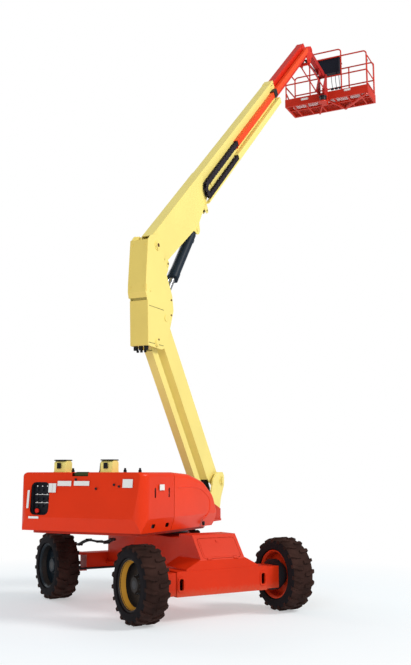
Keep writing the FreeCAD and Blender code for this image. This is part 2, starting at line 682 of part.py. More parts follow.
def boom_rests():
    """Two padded saddles on the tail's top, each a folded bracket with a rubber block."""
    pieces = []
    for side in (1, -1):
        y = ("255", "425") if side > 0 else ("-425", "-255")
        pieces.append(block("rest_foot", ("-tail_back + 60", "-tail_back + 230"), y,
                            ("hood_top", "hood_top + 8")))
        post = [("-tail_back + 75", "hood_top + 6"), ("-tail_back + 75", "hood_top + 118"),
                ("-tail_back + 105", "hood_top + 140"), ("-tail_back + 185", "hood_top + 140"),
                ("-tail_back + 215", "hood_top + 118"), ("-tail_back + 215", "hood_top + 6")]
        pieces.append(plate("rest_post", "XZ", post, *y, rounds=((20, (1, 2, 3, 4)),)))
    return node("boom_rests", fuse("boom_rests", pieces))


# ---------------------------------------------------------------- tower and upright
def tower_boom():
    """A deep channel with a closed back, its cylinder inside, and an eye at each end."""
    side = [("-72", "-50"), ("170", "-60"), ("tower_length - 180", "-60"), ("tower_length + 70", "-50"),
            ("tower_length + 85", "30"), ("tower_length + 20", "92"), ("tower_length - 200", "tower_deep"),
            ("250", "tower_deep"), ("10", "190"), ("-76", "50")]
    holes = (("0", "0", "35.1"), ("tower_length", "0", "32.1"))
    sides = pair("tower_side", "XZ", side, "tower_half - 10", "tower_half", holes,
                 ((50, (0, 3, 4, 9)), (60, (6, 7, 8))))
    pads = pair("tower_pad", "XZ", [("-66", "-44"), ("150", "-52"), ("150", "70"), ("-66", "44")],
                "tower_half - 18", "tower_half - 8", (("0", "0", "35.1"),), ((40, (0, 3)),))
    back = block("tower_back", ("230", "tower_length - 230"), ("-tower_half + 5", "tower_half - 5"),
                 ("tower_deep - 8", "tower_deep"))
    flanges = [block("tower_flange", ("190", "tower_length - 270"), span, ("-60", "-50"))
               for span in (("72", "tower_half - 5"), ("-tower_half + 5", "-72"))]
    ribs = []
    for x in ("500", "1300", "tower_length - 420"):
        for span in (("80", "tower_half - 5"), ("-tower_half + 5", "-80")):
            ribs.append(block("tower_rib", (x, f"{x} + 8"), span, ("-55", "tower_deep - 4")))
    head = block("tower_head", ("tower_length - 330", "tower_length - 322"),
                 ("-tower_half + 5", "tower_half - 5"), ("-15", "tower_deep - 4"))
    return node("tower_boom", fuse("tower_boom", sides + pads + [back, head] + flanges + ribs), TOWER)


def tower_link():
    """The square link behind the tower boom that keeps the upright level."""
    low, high = "link_drop - 66", "link_drop + 66"
    outside = block("link_outside", ("-link_back + 90", "tower_length - link_back - 90"), ("-62", "62"),
                    (low, high))
    hollow = block("link_hollow", ("-link_back + 80", "tower_length - link_back - 80"), ("-56", "56"),
                   (f"{low} + 6", f"{high} - 6"))
    tube = cut("link_tube", outside, [hollow])
    eyes = []
    bores = []
    for x in ("-link_back", "tower_length - link_back"):
        eyes.append(bar("link_eye", "y", "55", x, "-62", "link_drop", "124"))
        bores.append(bar("link_bore", "y", "28.1", x, "-70", "link_drop", "140"))
    eyes.append(block("link_root", ("-link_back + 30", "-link_back + 92"), ("-62", "62"),
                      ("link_drop - 45", "link_drop + 45")))
    eyes.append(block("link_tip", ("tower_length - link_back - 92", "tower_length - link_back - 30"),
                      ("-62", "62"), ("link_drop - 45", "link_drop + 45")))
    return node("tower_link", cut("tower_link", fuse("link_solid", [tube] + eyes), bores), TOWER)


def cylinder(label, rod_label, fixed, free, radius, pin, tube_length, rod_length, pin_half, face=1):
    """A lift cylinder along a line: its tube turns on the fixed pin and its rod reaches the free one.

    The tube has a neck with the eye, a gland at its open end and two ports on the given face,
    and the far port's oil comes along a pipe that lies on the tube. The rod keeps its own pin,
    which stands free between the bosses that it works in.
    """
    (x0, z0), (x1, z1) = ([value(c) for c in fixed], [value(c) for c in free])
    reach = math.hypot(x1 - x0, z1 - z0)
    turn = Rotation(Vector(0, 1, 0), -math.degrees(math.atan2(z1 - z0, x1 - x0)))
    start = radius * 1.3
    tube = bar(label + "_tube", "x", radius * 0.92, start, "0", "0", tube_length - start)
    neck = bar(label + "_neck", "x", radius * 0.74, radius * 0.4, "0", "0", radius)
    gland = bar(label + "_gland", "x", radius, tube_length - radius * 1.4, "0", "0", radius * 1.4)
    eye = bar(label + "_eye", "y", radius * 0.84, "0", -0.7 * radius, "0", 1.4 * radius)
    near, far = sorted((face * radius * 0.8, face * radius * 1.25))
    ports = [block(label + "_port", (x - radius * 0.4, x + radius * 0.4), (-0.3 * radius, 0.3 * radius),
                   (near, far)) for x in (radius * 1.9, tube_length - radius * 0.7)]
    line = bar(label + "_line", "x", radius * 0.12, radius * 1.9, "0", face * radius * 1.08,
               tube_length - radius * 2.6)
    bore = bar(label + "_bore", "x", radius * 0.56 + 0.5, max(84, radius * 0.9), "0", "0", tube_length)
    hole = bar(label + "_hole", "y", pin + 0.1, "0", "-100", "0", "200")
    rod = bar(rod_label + "_rod", "x", radius * 0.56, reach - rod_length, "0", "0",
              rod_length - radius * 0.45)
    rod_eye = bar(rod_label + "_eye", "y", radius * 0.75, reach, -0.7 * radius, "0", 1.4 * radius)
    rod_pin = bar(rod_label + "_pin", "y", pin, reach, -pin_half, "0", 2 * pin_half)
    tube_pieces = [tube, neck, gland, eye, line] + ports
    for name, whole in ((label, cut(label, fuse(label + "_solid", tube_pieces), [bore, hole])),
                        (rod_label, fuse(rod_label, [rod, rod_eye, rod_pin]))):
        whole.Placement = Placement(Vector(x0, 0, z0), turn)
        node(name, whole)


def in_frame(local, x, z):
    """A point of a local frame in the part's frame, as two numbers."""
    turn = Rotation(local["axis"], value(local["angle"]))
    spot = Vector(value(local["x"]), 0, value(local["z"])) + turn.multVec(
        Vector(value(x), 0, value(z)))
    return str(spot.x), str(spot.z)


def keeper(name, x, z, reach, y):
    """A keeper bar screwed over a pin's head."""
    return [block(name, (f"{x} - 12", f"{x} + 12"), span, (f"{z} - {reach}", f"{z} + {reach} / 3"))
            for span in ((y, f"{y} + 10"), (f"-{y} - 10", f"-{y}"))]


def upright():
    """The level upright: two side plates joined by webs, open in front for the booms."""
    side = [("-480", "4990"), ("-400", "5075"), ("-250", "5115"), ("-110", "5080"), ("-30", "4960"),
            ("30", "4680"), ("110", "4530"), ("255", "4310"), ("300", "4090"), ("240", "3930"),
            ("170", "3740"), ("50", "3500"), ("-60", "3470"), ("-440", "3484"), ("-470", "4120"),
            ("-530", "4230"), ("-530", "4340")]
    sides = pair("upright_side", "XZ", side, "upright_half - 12", "upright_half",
                 rounds=((90, (1, 2, 3)), (120, (4, 5, 6)), (110, (7, 8, 9)), (60, (11, 12))))
    web = block("upright_web", ("-440", "-428"), ("-upright_half + 6", "upright_half - 6"),
                ("3500", "4960"))
    shelf = block("hose_shelf", ("-440", "-350"), ("-upright_half + 6", "upright_half - 6"), ("3484", "3494"))
    low_web = block("low_web", ("-430", "-300"), ("-upright_half + 6", "upright_half - 6"),
                    ("3640", "3652"))
    head = in_frame(TOWER, "tower_length", "0")
    low = in_frame(TOWER, "tower_length - link_back", "link_drop")
    pins = stub_pins("head_pin", head[0], head[1], "32", "96", "142")
    pins += cross_pin("low_pin", low[0], low[1], "28", "150")
    pins += cross_pin("boom_pin", "pivot_x", "pivot_z", "35", "150")
    pins += [bar("ram_boss", "y", "40", "120", y, "4090", "33") for y in ("97", "-130")]
    bosses = []
    for y in ("upright_half - 2", "-upright_half - 8"):
        bosses.append(bar("boom_boss", "y", "72", "pivot_x", y, "pivot_z", "10"))
        bosses.append(bar("low_boss", "y", "56", low[0], y, low[1], "10"))
        bosses.append(bar("plain_bolt", "y", "17", "-400", y, "4270", "12"))
    oval = [("78", "4712"), ("134", "4712"), ("134", "4806"), ("78", "4806")]
    bosses += pair("oval_boss", "XZ", oval, "upright_half - 40", "upright_half + 8",
                   rounds=((27, (0, 1, 2, 3)),))
    tabs = pair("oval_tab", "XZ", [("-60", "4640"), ("40", "4830"), ("110", "4840"), ("142", "4760"),
                                   ("120", "4660"), ("60", "4560")], "upright_half - 12", "upright_half",
                rounds=((30, (1, 2, 3, 4)),))
    keepers = keeper("boom_keeper", "pivot_x", "pivot_z", "66", "152")
    keepers += keeper("low_keeper", low[0], low[1], "56", "152")
    return node("upright", fuse("upright", sides + [web, shelf, low_web] + pins + bosses + tabs + keepers))


def upright_covers():
    """The two bolted covers on the back of the upright, folded from plate, with a joint between."""
    high = [("-515", "4150"), ("-540", "4232"), ("-540", "4346"), ("-490", "4992"), ("-480.4", "4992"),
            ("-530.4", "4346"), ("-530.4", "4232"), ("-507", "4154")]
    low = [("-450", "3490"), ("-480", "4118"), ("-470.4", "4118"), ("-440.6", "3490")]
    upper = plate("upper_cover", "XZ", high, "-upright_half - 3", "upright_half + 3")
    lower = plate("lower_cover", "XZ", low, "-upright_half - 3", "upright_half + 3")
    pieces = [upper, lower]
    for y in ("-upright_half - 3", "upright_half"):
        pieces.append(block("cover_lip", ("-538", "-505"), (y, f"{y} + 3"), ("4240", "4340")))
    for y in ("-100", "100"):
        for x, z in (("-503", "4920"), ("-547", "4300")):
            pieces.append(bar("cover_bolt", "x", "13", x, y, z, "20"))
    return node("upright_covers", fuse("upright_covers", pieces))


def hose_guides():
    """Three stub ends under the upright where its hoses come out."""
    pieces = [bar("guide", "z", "30", "-400", str(y), "3425", "59") for y in (-85, 0, 85)]
    return node("hose_guides", fuse("hose_guides", pieces))


# ---------------------------------------------------------------- main boom
def box_tube(name, x, half, low, high, wall):
    """A square tube along x, open at both ends."""
    outside = block(name + "_outside", x, (f"-({half})", half), (low, high))
    inside = block(name + "_inside", (f"({x[0]}) - 10", f"({x[1]}) + 10"),
                   (f"-({half}) + {wall}", f"({half}) - {wall}"),
                   (f"({low}) + {wall}", f"({high}) - {wall}"))
    return cut(name, outside, [inside])


def base_boom():
    """The base section: a box tube with pivot plates at its root and deep plates for its cylinder."""
    tube = box_tube("base_tube", ("120", "base_length"), "boom_half", "-boom_low", "boom_top", "wall")
    root = [("-95", "-60"), ("-95", "60"), ("0", "boom_top"), ("2200", "boom_top"), ("2200", "-boom_low + 6"),
            ("60", "-boom_low + 6"), ("-60", "-160")]
    sides = pair("root_side", "XZ", root, "boom_half", "boom_half + 8",
                 (("0", "0", "35.1"),), ((60, (0, 1, 2)), (50, (5,))))
    keel = [("60", "-boom_low + 6"), ("60", "-boom_low - 4"), ("150", "-365"), ("1330", "-455"),
            ("1385", "-560"), ("1450", "-590"), ("1515", "-560"), ("1570", "-450"), ("2050", "-310"),
            ("2200", "-boom_low - 4"), ("2200", "-boom_low + 6")]
    keels = pair("keel", "XZ", keel, "boom_half - 6", "boom_half + 6",
                 (("1450", "-500", "24.9"),), ((60, (2,)), (50, (4, 5, 6)), (90, (3, 7, 8))))
    lid = block("root_lid", ("60", "2250"), ("-boom_half - 6", "boom_half + 6"),
                ("boom_top - 4", "boom_top + 6"))
    bosses = [bar("boss", "y", "70", "0", y, "0", "32") for y in ("boom_half + 8", "-boom_half - 40")]
    pins = cross_pin("cylinder_pin", "1450", "-500", "25", "boom_half + 8")
    collar = box_tube("end_collar", ("base_length - 190", "base_length"), "boom_half + 7",
                      "-boom_low - 7", "boom_top + 7", "8")
    saddle = [("1980", "-234"), ("2030", "-470"), ("2050", "-520"), ("2110", "-520"), ("2130", "-470"),
              ("2170", "-234")]
    saddles = pair("boom_saddle", "XZ", saddle, "26", "38", (("2080", "-478", "14"),), ((24, (1, 2, 3, 4)),))
    saddles.append(block("saddle_web", ("2074", "2086"), ("-30", "30"), ("-420", "-234")))
    whole = fuse("base_solid", [tube, lid, collar] + saddles + sides + keels + bosses + pins)
    bore = bar("pivot_bore", "y", "35.1", "0", "-200", "0", "400")
    return node("base_boom", cut("base_boom", whole, [bore]), BOOM)


def fly_boom():
    """The fly section, which slides out of the base; its nose carries the jib's bracket."""
    tube = box_tube("fly_tube", ("fly_start", "fly_end"), "fly_half", "-boom_low + 14",
                    "boom_top - 40", "6")
    top, low = "boom_top - 40", "-boom_low + 14"
    side = [("fly_end - 150", low), ("fly_end - 150", top), ("fly_end + 30", top), ("head_reach - 20", "10"),
            ("head_reach + 50", "-head_drop + 10"), ("head_reach + 40", "-head_drop - 60"),
            ("head_reach - 40", low)]
    nose = pair("fly_nose", "XZ", side, "fly_half - 3", "fly_half + 5",
                (("head_reach", "-head_drop", "28.1"),), ((40, (3, 4, 5)),))
    return node("fly_boom", fuse("fly_boom", [tube] + nose), BOOM)


def track_guide():
    """The tray on the base boom's side that the track's lower strand lies in, closed further up."""
    low = "-strand_high - 2 * track_radius"
    near, far = "-boom_half - 84", "-boom_half - 8"
    deep = f"{low} - track_half - 14"
    floor = block("guide_floor", ("1980", "base_length - 40"), (near, far), (deep, f"{deep} + 8"))
    lip = block("guide_lip", ("2040", "base_length - 40"), (near, f"{near} + 6"), (deep, f"{deep} + 30"))
    lid = block("guide_cover", ("tray_start", "base_length - 40"), (near, f"{near} + 3"),
                (deep, f"{low} + track_half + 14"))
    roof = block("guide_roof", ("tray_start", "base_length - 40"), (near, far),
                 (f"{low} + track_half + 6", f"{low} + track_half + 14"))
    rail = block("middle_rail", ("2420", "base_length - 40"), (f"{far} - 8", far),
                 ("-strand_high - track_radius - 22", "-strand_high - track_radius + 22"))
    feet = [block("guide_foot", (x, f"{x} + 60"), ("-boom_half - 12", "-boom_half"),
                  (deep, "-strand_high - track_radius + 20")) for x in ("2440", "3900", "5300", "6380")]
    clamp = block("clamp", ("base_length - 330", "base_length - 150"), ("-boom_half - 96", "-boom_half - 7"),
                  ("-strand_high - 68", "-strand_high + 68"))
    slot = block("clamp_slot", ("base_length - 340", "base_length - 140"),
                 ("-boom_half - 88", "-boom_half - 9"), ("-strand_high - 58", "-strand_high + 58"))
    node("tube_clamp", cut("tube_clamp", clamp, [slot]), BOOM)
    return node("track_guide", fuse("track_guide", [floor, lip, lid, roof, rail] + feet), BOOM)


def power_track():
    """The hose carrier: chains of side plates on cross rods, bent round from strand to strand.

    Each link is a pair of plates, drawn in at one end so that it laps into the next, with two
    cross bars that hold the hoses; the bend is a half circle of the same links.
    """
    pitch, radius = value("track_pitch"), value("track_radius")
    bend, high = value("track_bend"), -value("strand_high")
    outer, inner = -value("boom_half") - 76, -value("boom_half") - 20
    half, lap, thick = value("track_half"), 15.0, 4.0

    def link(centre, angle, wide):
        step = 0 if wide else thick
        tip, flat, neck = pitch / 2 + lap, pitch / 2 - 12, half * 0.45
        plan = [(-tip, neck), (-flat, half), (flat, half), (tip, neck),
                (tip, -neck), (flat, -half), (-flat, -half), (-tip, -neck)]
        pieces = []
        for y in (outer + step, inner - step - thick):
            wire = Part.makePolygon([Vector(x, y, z) for x, z in plan + plan[:1]])
            pieces.append(Part.Face(wire).extrude(Vector(0, thick, 0)))
        for z in (-half, half - 6):
            bar = Part.makeBox(pitch * 0.42, inner - outer - 2 * step, 6,
                               Vector(-pitch * 0.21, outer + step, z))
            pieces.append(bar)
        whole = pieces[0].fuse(pieces[1:])
        whole.Placement = Placement(centre, Rotation(Vector(0, 1, 0), -angle))
        return whole

    spots = [(Vector(bend + (i + 0.5) * pitch, 0, high), 0) for i in range(42)]
    spots.reverse()
    turns = 4
    for i in range(turns):
        angle = 90 + (i + 0.5) * 180 / turns
        spots.append((Vector(bend + radius * math.cos(math.radians(angle)), 0,
                             high - radius + radius * math.sin(math.radians(angle))), angle - 90))
    spots += [(Vector(bend + (i + 0.5) * pitch, 0, high - 2 * radius), 180) for i in range(37)]
    links = [link(centre, angle, n % 2 == 0) for n, (centre, angle) in enumerate(spots)]
    thing = doc.addObject("Part::Feature", "power_track")
    thing.Shape = links[0].fuse(links[1:])
    return node("power_track", thing, BOOM)


def push_tube():
    """The tube on the fly's side that takes the track's upper strand along."""
    outside = block("push_outside", ("push_start", "fly_end - 40"), ("-boom_half - 83", "-boom_half - 14"),
                    ("-strand_high - 52", "-strand_high + 52"))
    inside = block("push_inside", ("push_start - 50", "fly_end - 120"),
                   ("-boom_half - 80", "-boom_half - 17"), ("-strand_high - 49", "-strand_high + 49"))
    foot = block("push_foot", ("fly_end - 145", "fly_end - 40"), ("-boom_half - 16", "-fly_half - 5"),
                 ("-strand_high - 30", "-strand_high + 30"))
    tab = plate("push_tab", "XZ",
                [("push_start + 10", "-strand_high - 50"), ("push_start - 40", "-strand_high - 78"),
                 ("push_start - 28", "-strand_high - 90"), ("push_start + 80", "-strand_high - 50")],
                "-boom_half - 60", "-boom_half - 30")
    return node("push_tube", fuse("push_tube", [cut("push_shell", outside, [inside]), foot, tab]), BOOM)


# ---------------------------------------------------------------- jib
NOSE = in_frame(BOOM, "head_reach", "-head_drop")


def jib_low():
    """The lower pin of the jib's link on the nose bracket."""
    return "jib_x - jib_link_back", "jib_z - jib_link_drop"


def nose_bracket():
    """The bracket on the fly's nose, kept level, that carries the jib and its link."""
    nose_x, nose_z = NOSE
    side = [(f"{nose_x} - 75", f"{nose_z} - 30"), (f"{nose_x} - 50", f"{nose_z} + 75"),
            ("jib_x - 40", "jib_z + 85"), ("jib_x + 75", "jib_z + 60"), ("jib_x + 80", "jib_z - 60"),
            ("jib_x - jib_link_back + 85", "jib_z - jib_link_drop - 20"),
            ("jib_x - jib_link_back + 10", "jib_z - jib_link_drop - 45"),
            ("jib_x - jib_link_back - 32", "jib_z - jib_link_drop + 5")]
    sides = pair("bracket_side", "XZ", side, "fly_half + 9", "fly_half + 21", rounds=((40, (1, 2, 3, 6)),))
    pins = cross_pin("nose_pin", nose_x, nose_z, "28", "fly_half + 22")
    pins += cross_pin("jib_pin", "jib_x", "jib_z", "25", "fly_half + 20")
    pins += cross_pin("jib_low_pin", *jib_low(), "22", "fly_half + 44")
    pins += cross_pin("ram_pin", "jib_x - 150", "jib_z - 300", "14", "fly_half + 20")
    return node("nose_bracket", fuse("nose_bracket", sides + pins))


def jib_boom():
    """The jib's box arm with a fork at each end and a lug for its cylinder below."""
    tube = box_tube("jib_tube", ("95", "jib_length - 95"), "48", "-50", "55", "5")
    fork = [("-50", "-45"), ("-50", "50"), ("130", "62"), ("jib_length - 130", "62"),
            ("jib_length + 50", "50"), ("jib_length + 50", "-45"), ("jib_length - 130", "-56"),
            ("130", "-56")]
    sides = pair("jib_side", "XZ", fork, "48", "58",
                 (("0", "0", "25.1"), ("jib_length", "0", "25.1")), ((40, (0, 1, 4, 5)),))
    lug = pair("jib_lug", "XZ", [("670", "-50"), ("715", "-205"), ("790", "-205"), ("860", "-50")],
               "34", "42", rounds=((25, (1, 2)),))
    return node("jib_boom", fuse("jib_boom", [tube] + sides + lug), JIB)


def jib_link_offset():
    """The link's lower pin in the jib's own frame."""
    x = "-jib_link_back * cos(jib_slope) + jib_link_drop * sin(jib_slope)"
    z = "-jib_link_back * sin(jib_slope) - jib_link_drop * cos(jib_slope)"
    return x, z


def jib_link():
    """Two flat straps that keep the jib's head level."""
    x, z = jib_link_offset()
    strap = [(f"{x} - 30", f"{z} - 24"), (f"{x} - 30", f"{z} + 24"),
             (f"{x} + jib_length + 30", f"{z} + 24"), (f"{x} + jib_length + 30", f"{z} - 24")]
    holes = ((x, z, "22.1"), (f"{x} + jib_length", z, "22.1"))
    straps = pair("strap", "XZ", strap, "102", "110", holes, ((22, (0, 1, 2, 3)),))
    return node("jib_link", fuse("jib_link", straps), JIB)


def jib_head():
    """The level head at the jib's end, with the pins of the jib and of its link."""
    tip = in_frame(JIB, "jib_length", "0")
    low = (f"{tip[0]} - jib_link_back", f"{tip[1]} - jib_link_drop")
    side = [(f"{tip[0]} - 50", f"{tip[1]} + 20"), (f"{tip[0]} - 10", f"{tip[1]} + 50"),
            (f"{tip[0]} + 45", f"{tip[1]} + 30"), (f"{tip[0]} + 50", f"{tip[1]} - 60"),
            ("swing_x + 75", "floor_z + 60"), ("swing_x + 75", "floor_z - 40"),
            ("swing_x - 95", "floor_z - 40"), (f"{low[0]} - 40", f"{low[1]} - 35"),
            (f"{low[0]} - 50", f"{low[1]} + 25")]
    sides = pair("head_side", "XZ", side, "fly_half + 9", "fly_half + 21", rounds=((30, (1, 2)),))
    shelf = block("head_shelf", ("swing_x - 95", "swing_x + 75"), ("-fly_half - 15", "fly_half + 15"),
                  ("floor_z - 52", "floor_z - 40"))
    bore = bar("motor_bore", "z", "50", "swing_x", "0", "floor_z - 60", "30")
    shelf = cut("bored_shelf", shelf, [bore])
    pins = cross_pin("head_pin", tip[0], tip[1], "25", "fly_half + 20")
    pins += stub_pins("head_low_pin", low[0], low[1], "22", "fly_half + 5", "fly_half + 44")
    return node("jib_head", fuse("jib_head", sides + pins + [shelf]))


def swing_drive():
    """The rotary drive below the head that swings the platform."""
    housing = revolved("housing", [("-172", "0"), ("-172", "62"), ("-150", "75"), ("-78", "75"),
                                   ("-72", "92"), ("-52", "92"), ("-52", "0")])
    housing.Placement = Placement(Vector(), Rotation(Vector(1, 0, 0), 90))
    place(housing, "swing_x", "0", "floor_z")
    motor = bar("motor", "z", "44", "swing_x", "0", "floor_z - 60", "55")
    cap = bar("motor_cap", "z", "36", "swing_x", "0", "floor_z - 10", "18")
    return node("swing_drive", fuse("swing_drive", [housing, motor, cap]))


# ---------------------------------------------------------------- platform
def platform_mount():
    """The mount below the swing drive: an arm to the platform's post, and braces under the floor."""
    flange = bar("flange", "z", "95", "swing_x", "0", "floor_z - 205", "30")
    arm = plate("arm", "XY", [("swing_x - 20", "-72"), ("floor_near - 10", "-60"), ("floor_near - 10", "60"),
                              ("swing_x - 20", "72")], "floor_z - 205", "floor_z - 175")
    rib = plate("rib", "XZ", [("swing_x + 100", "floor_z - 180"), ("floor_near - 70", "floor_z - 180"),
                              ("floor_near - 70", "floor_z - 40")], "-8", "8")
    post = block("post", ("floor_near - 75", "floor_near"), ("-60", "60"), ("floor_z - 205", "floor_z + 235"))
    hollow = block("post_hollow", ("floor_near - 67", "floor_near + 5"), ("-52", "52"),
                   ("floor_z - 195", "floor_z + 240"))
    cheeks = plate("cheeks", "YZ",
                   [("-60", "floor_z + 150"), ("-120", "floor_z - 20"), ("-120", "floor_z - 96"),
                    ("120", "floor_z - 96"), ("120", "floor_z - 20"), ("60", "floor_z + 150")],
                   "floor_near - 12", "floor_near")
    skids = [plate("under_arm", "XY", [("floor_near - 40", f"{a}"), ("floor_near - 40", f"{b}"),
                                       ("floor_far - 30", f"{b} + {t}"), ("floor_far - 30", f"{a} + {t}")],
                   "floor_z - 90", "floor_z - 50") for a, b, t in ((-60, -20, -270), (20, 60, 330))]
    brace = plate("brace", "XY",
                  [("floor_far - 100", "-290"), ("floor_far - 50", "-330"),
                   ("floor_near + 50", "-floor_half + 10"), ("floor_near", "-floor_half + 50")],
                  "floor_z - 90", "floor_z - 50")
    pieces = [flange, arm, rib, cut("post_shell", post, [hollow]), cheeks, brace] + skids
    return node("platform_mount", fuse("platform_mount", pieces))


def platform_floor():
    """An open frame with slats for the mesh floor on it, and toe boards round it."""
    ends = [("-floor_half", "-floor_half + 40"), ("floor_half - 40", "floor_half")]
    crossings = [(str(y - 15), str(y + 15)) for y in (-840, -530, -200, 200, 530, 840)]
    bars = [block("floor_bar", ("floor_near", "floor_far"), span, ("floor_z - 50", "floor_z - 4"))
            for span in ends + crossings]
    for x in ("floor_near", "floor_near + 300", "floor_far - 36"):
        bars.append(block("long_bar", (x, f"{x} + 36"), ("-floor_half", "floor_half"),
                          ("floor_z - 50", "floor_z - 4")))
    slats = [block("slat", (f"floor_near + {x}", f"floor_near + {x + 7}"),
                   ("-floor_half + 10", "floor_half - 10"), ("floor_z - 6", "floor_z + 2"))
             for x in range(55, 640, 52)]
    toes = [
        block("near_toe", ("floor_near", "floor_near + 5"), ("-floor_half", "floor_half"),
              ("floor_z - 50", "floor_z + 150")),
        block("far_toe", ("floor_far - 5", "floor_far"), ("-floor_half", "floor_half"),
              ("floor_z - 50", "floor_z + 150")),
        block("left_toe", ("floor_near", "floor_far"), ("floor_half - 5", "floor_half"),
              ("floor_z - 20", "floor_z + 150")),
        block("right_toe", ("floor_near", "floor_far"), ("-floor_half", "-floor_half + 5"),
              ("floor_z - 20", "floor_z + 150")),
    ]
    return node("platform_floor", fuse("platform_floor", bars + slats + toes))


def platform_rails():
    """The bent tube guard: top and middle rails on posts, and a raised hoop at the controls."""
    near, far = "floor_near + 22", "floor_far - 22"
    left, right = "floor_half - 22", "-floor_half + 22"
    low, middle, hoop = "floor_z - 4", "rail_top - 480", "rail_top + 180"
    runs = []
    for x in (near, far):
        runs.append([(x, right, low), (x, right, "rail_top"), (x, left, "rail_top"), (x, left, low)])
        runs.append([(x, right, middle), (x, left, middle)])
        runs += [[(x, y, low), (x, y, "rail_top")] for y in ("-400", "400")]
    for z in ("rail_top - 60", "middle - 60"):
        z = z.replace("middle", "rail_top - 480")
        runs.append([(near, left, z), (far, left, z)])
    runs.append([(near, left, "floor_z + 330"), (far, left, "floor_z + 40")])
    runs.append([(near, "-400", "rail_top - 40"), (near, "-400", hoop), (near, "400", hoop),
                 (near, "400", "rail_top - 40")])
    return node("platform_rails", tubes("platform_rails", runs, value("rail_radius"), 80))


def platform_gate():
    """The inward gate at the platform's right end, hinged on the far post."""
    y = "-floor_half + 22"
    near, far, top, low = "floor_near + 60", "floor_far - 60", "rail_top - 90", "floor_z + 200"
    runs = [[(near, y, low), (near, y, top), (far, y, top), (far, y, low)],
            [(near, y, "rail_top - 480"), (far, y, "rail_top - 480")],
            [(near, y, f"{low} + 12"), (far, y, f"{low} + 12")]]
    frame_tubes = tubes("gate_tubes", runs, value("rail_radius") - 3, 50)
    ears = [block("gate_ear", (f"{far} - 6", "floor_far - 42"), (f"{y} - 5", f"{y} + 5"), (z, f"{z} + 50"))
            for z in ("rail_top - 300", "floor_z + 300")]
    catch = block("gate_catch", ("floor_near + 42", f"{near} + 5"), (f"{y} - 6", f"{y} + 6"),
                  ("rail_top - 260", "rail_top - 200"))
    return node("platform_gate", fuse("platform_gate", [frame_tubes, catch] + ears))


def platform_console():
    """The control box that hangs inside the near rail: a moulded case with a sloped panel."""
    case = [("floor_near + 44", "floor_z + 640"), ("floor_near + 44", "floor_z + 1020"),
            ("floor_near + 90", "floor_z + 1040"), ("floor_near + 290", "floor_z + 930"),
            ("floor_near + 290", "floor_z + 820"), ("floor_near + 200", "floor_z + 640")]
    body = plate("console_case", "XZ", case, "-340", "240", rounds=((22, (1, 2, 3, 4, 5)),))
    guard = plate("console_lip", "XZ",
                  [("floor_near + 84", "floor_z + 1028"), ("floor_near + 96", "floor_z + 1050"),
                   ("floor_near + 296", "floor_z + 938"), ("floor_near + 284", "floor_z + 918")],
                  "-352", "252")
    levers = [bar("lever", "z", "10", "floor_near + 210", y, "floor_z + 950", "90")
              for y in ("-240", "130")]
    knobs = [bar("lever_knob", "z", "17", "floor_near + 210", y, "floor_z + 1020", "46")
             for y in ("-240", "130")]
    feet = [block("hanger", ("floor_near + 40", "floor_near + 50"), (y, f"{y} + 40"),
                  ("floor_z + 560", "floor_z + 660")) for y in ("-300", "160")]
    return node("platform_console", fuse("platform_console", [body, guard] + levers + knobs + feet))


# ---------------------------------------------------------------- the whole machine
chassis_frame()
rear_beam()
drive_hubs()
front_axle()
knuckle(1, "left_knuckle")
knuckle(-1, "right_knuckle")
tie_rod()
slew_ring()
rear_hatch()
for axle_name, axle in (("rear", "back_axle"), ("front", "front_axle")):
    wheel(axle, 1, f"left_{axle_name}")
    wheel(axle, -1, f"right_{axle_name}")
turntable_deck()
tower_pedestal()
tail_casing()
counterweight()
hood(1, "left_hood")
hood(-1, "right_hood")
batteries()
power_unit()
ground_controls()
boom_rests()
tower_boom()
tower_link()
TOWER_RAM = ("1760", "1415")
cylinder("tower_cylinder", "tower_rod", TOWER_RAM, in_frame(TOWER, "2200", "60"), 55, 22,
         1500, 1500, 102, -1)
upright()
upright_covers()
hose_guides()
base_boom()
fly_boom()
track_guide()
power_track()
push_tube()
cylinder("lift_cylinder", "lift_rod", in_frame(BOOM, "1450", "-500"), ("120", "4090"), 90, 25,
         1158, 1143, 80)
nose_bracket()
jib_boom()
jib_link()
cylinder("jib_cylinder", "jib_rod", ("jib_x - 150", "jib_z - 300"),
         in_frame(JIB, "750", "-180"), 28, 14, 600, 563, 31, -1)
jib_head()
swing_drive()
platform_mount()
platform_floor()
platform_rails()
platform_gate()
platform_console()

doc.recompute()
bad = [thing.Name for thing in doc.Objects if {"Invalid", "Error"} & set(thing.State)]
bad += [thing.Label for thing in nodes if thing.Shape.isNull() or not thing.Shape.isValid()]
if bad:
    raise SystemExit("failed: " + ", ".join(bad))
os.makedirs("parts", exist_ok=True)
for thing in nodes:
    thing.Shape.exportStep(f"parts/{thing.Label}.step")
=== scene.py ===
import math

import bmesh
import bpy
from mathutils import Matrix, Vector


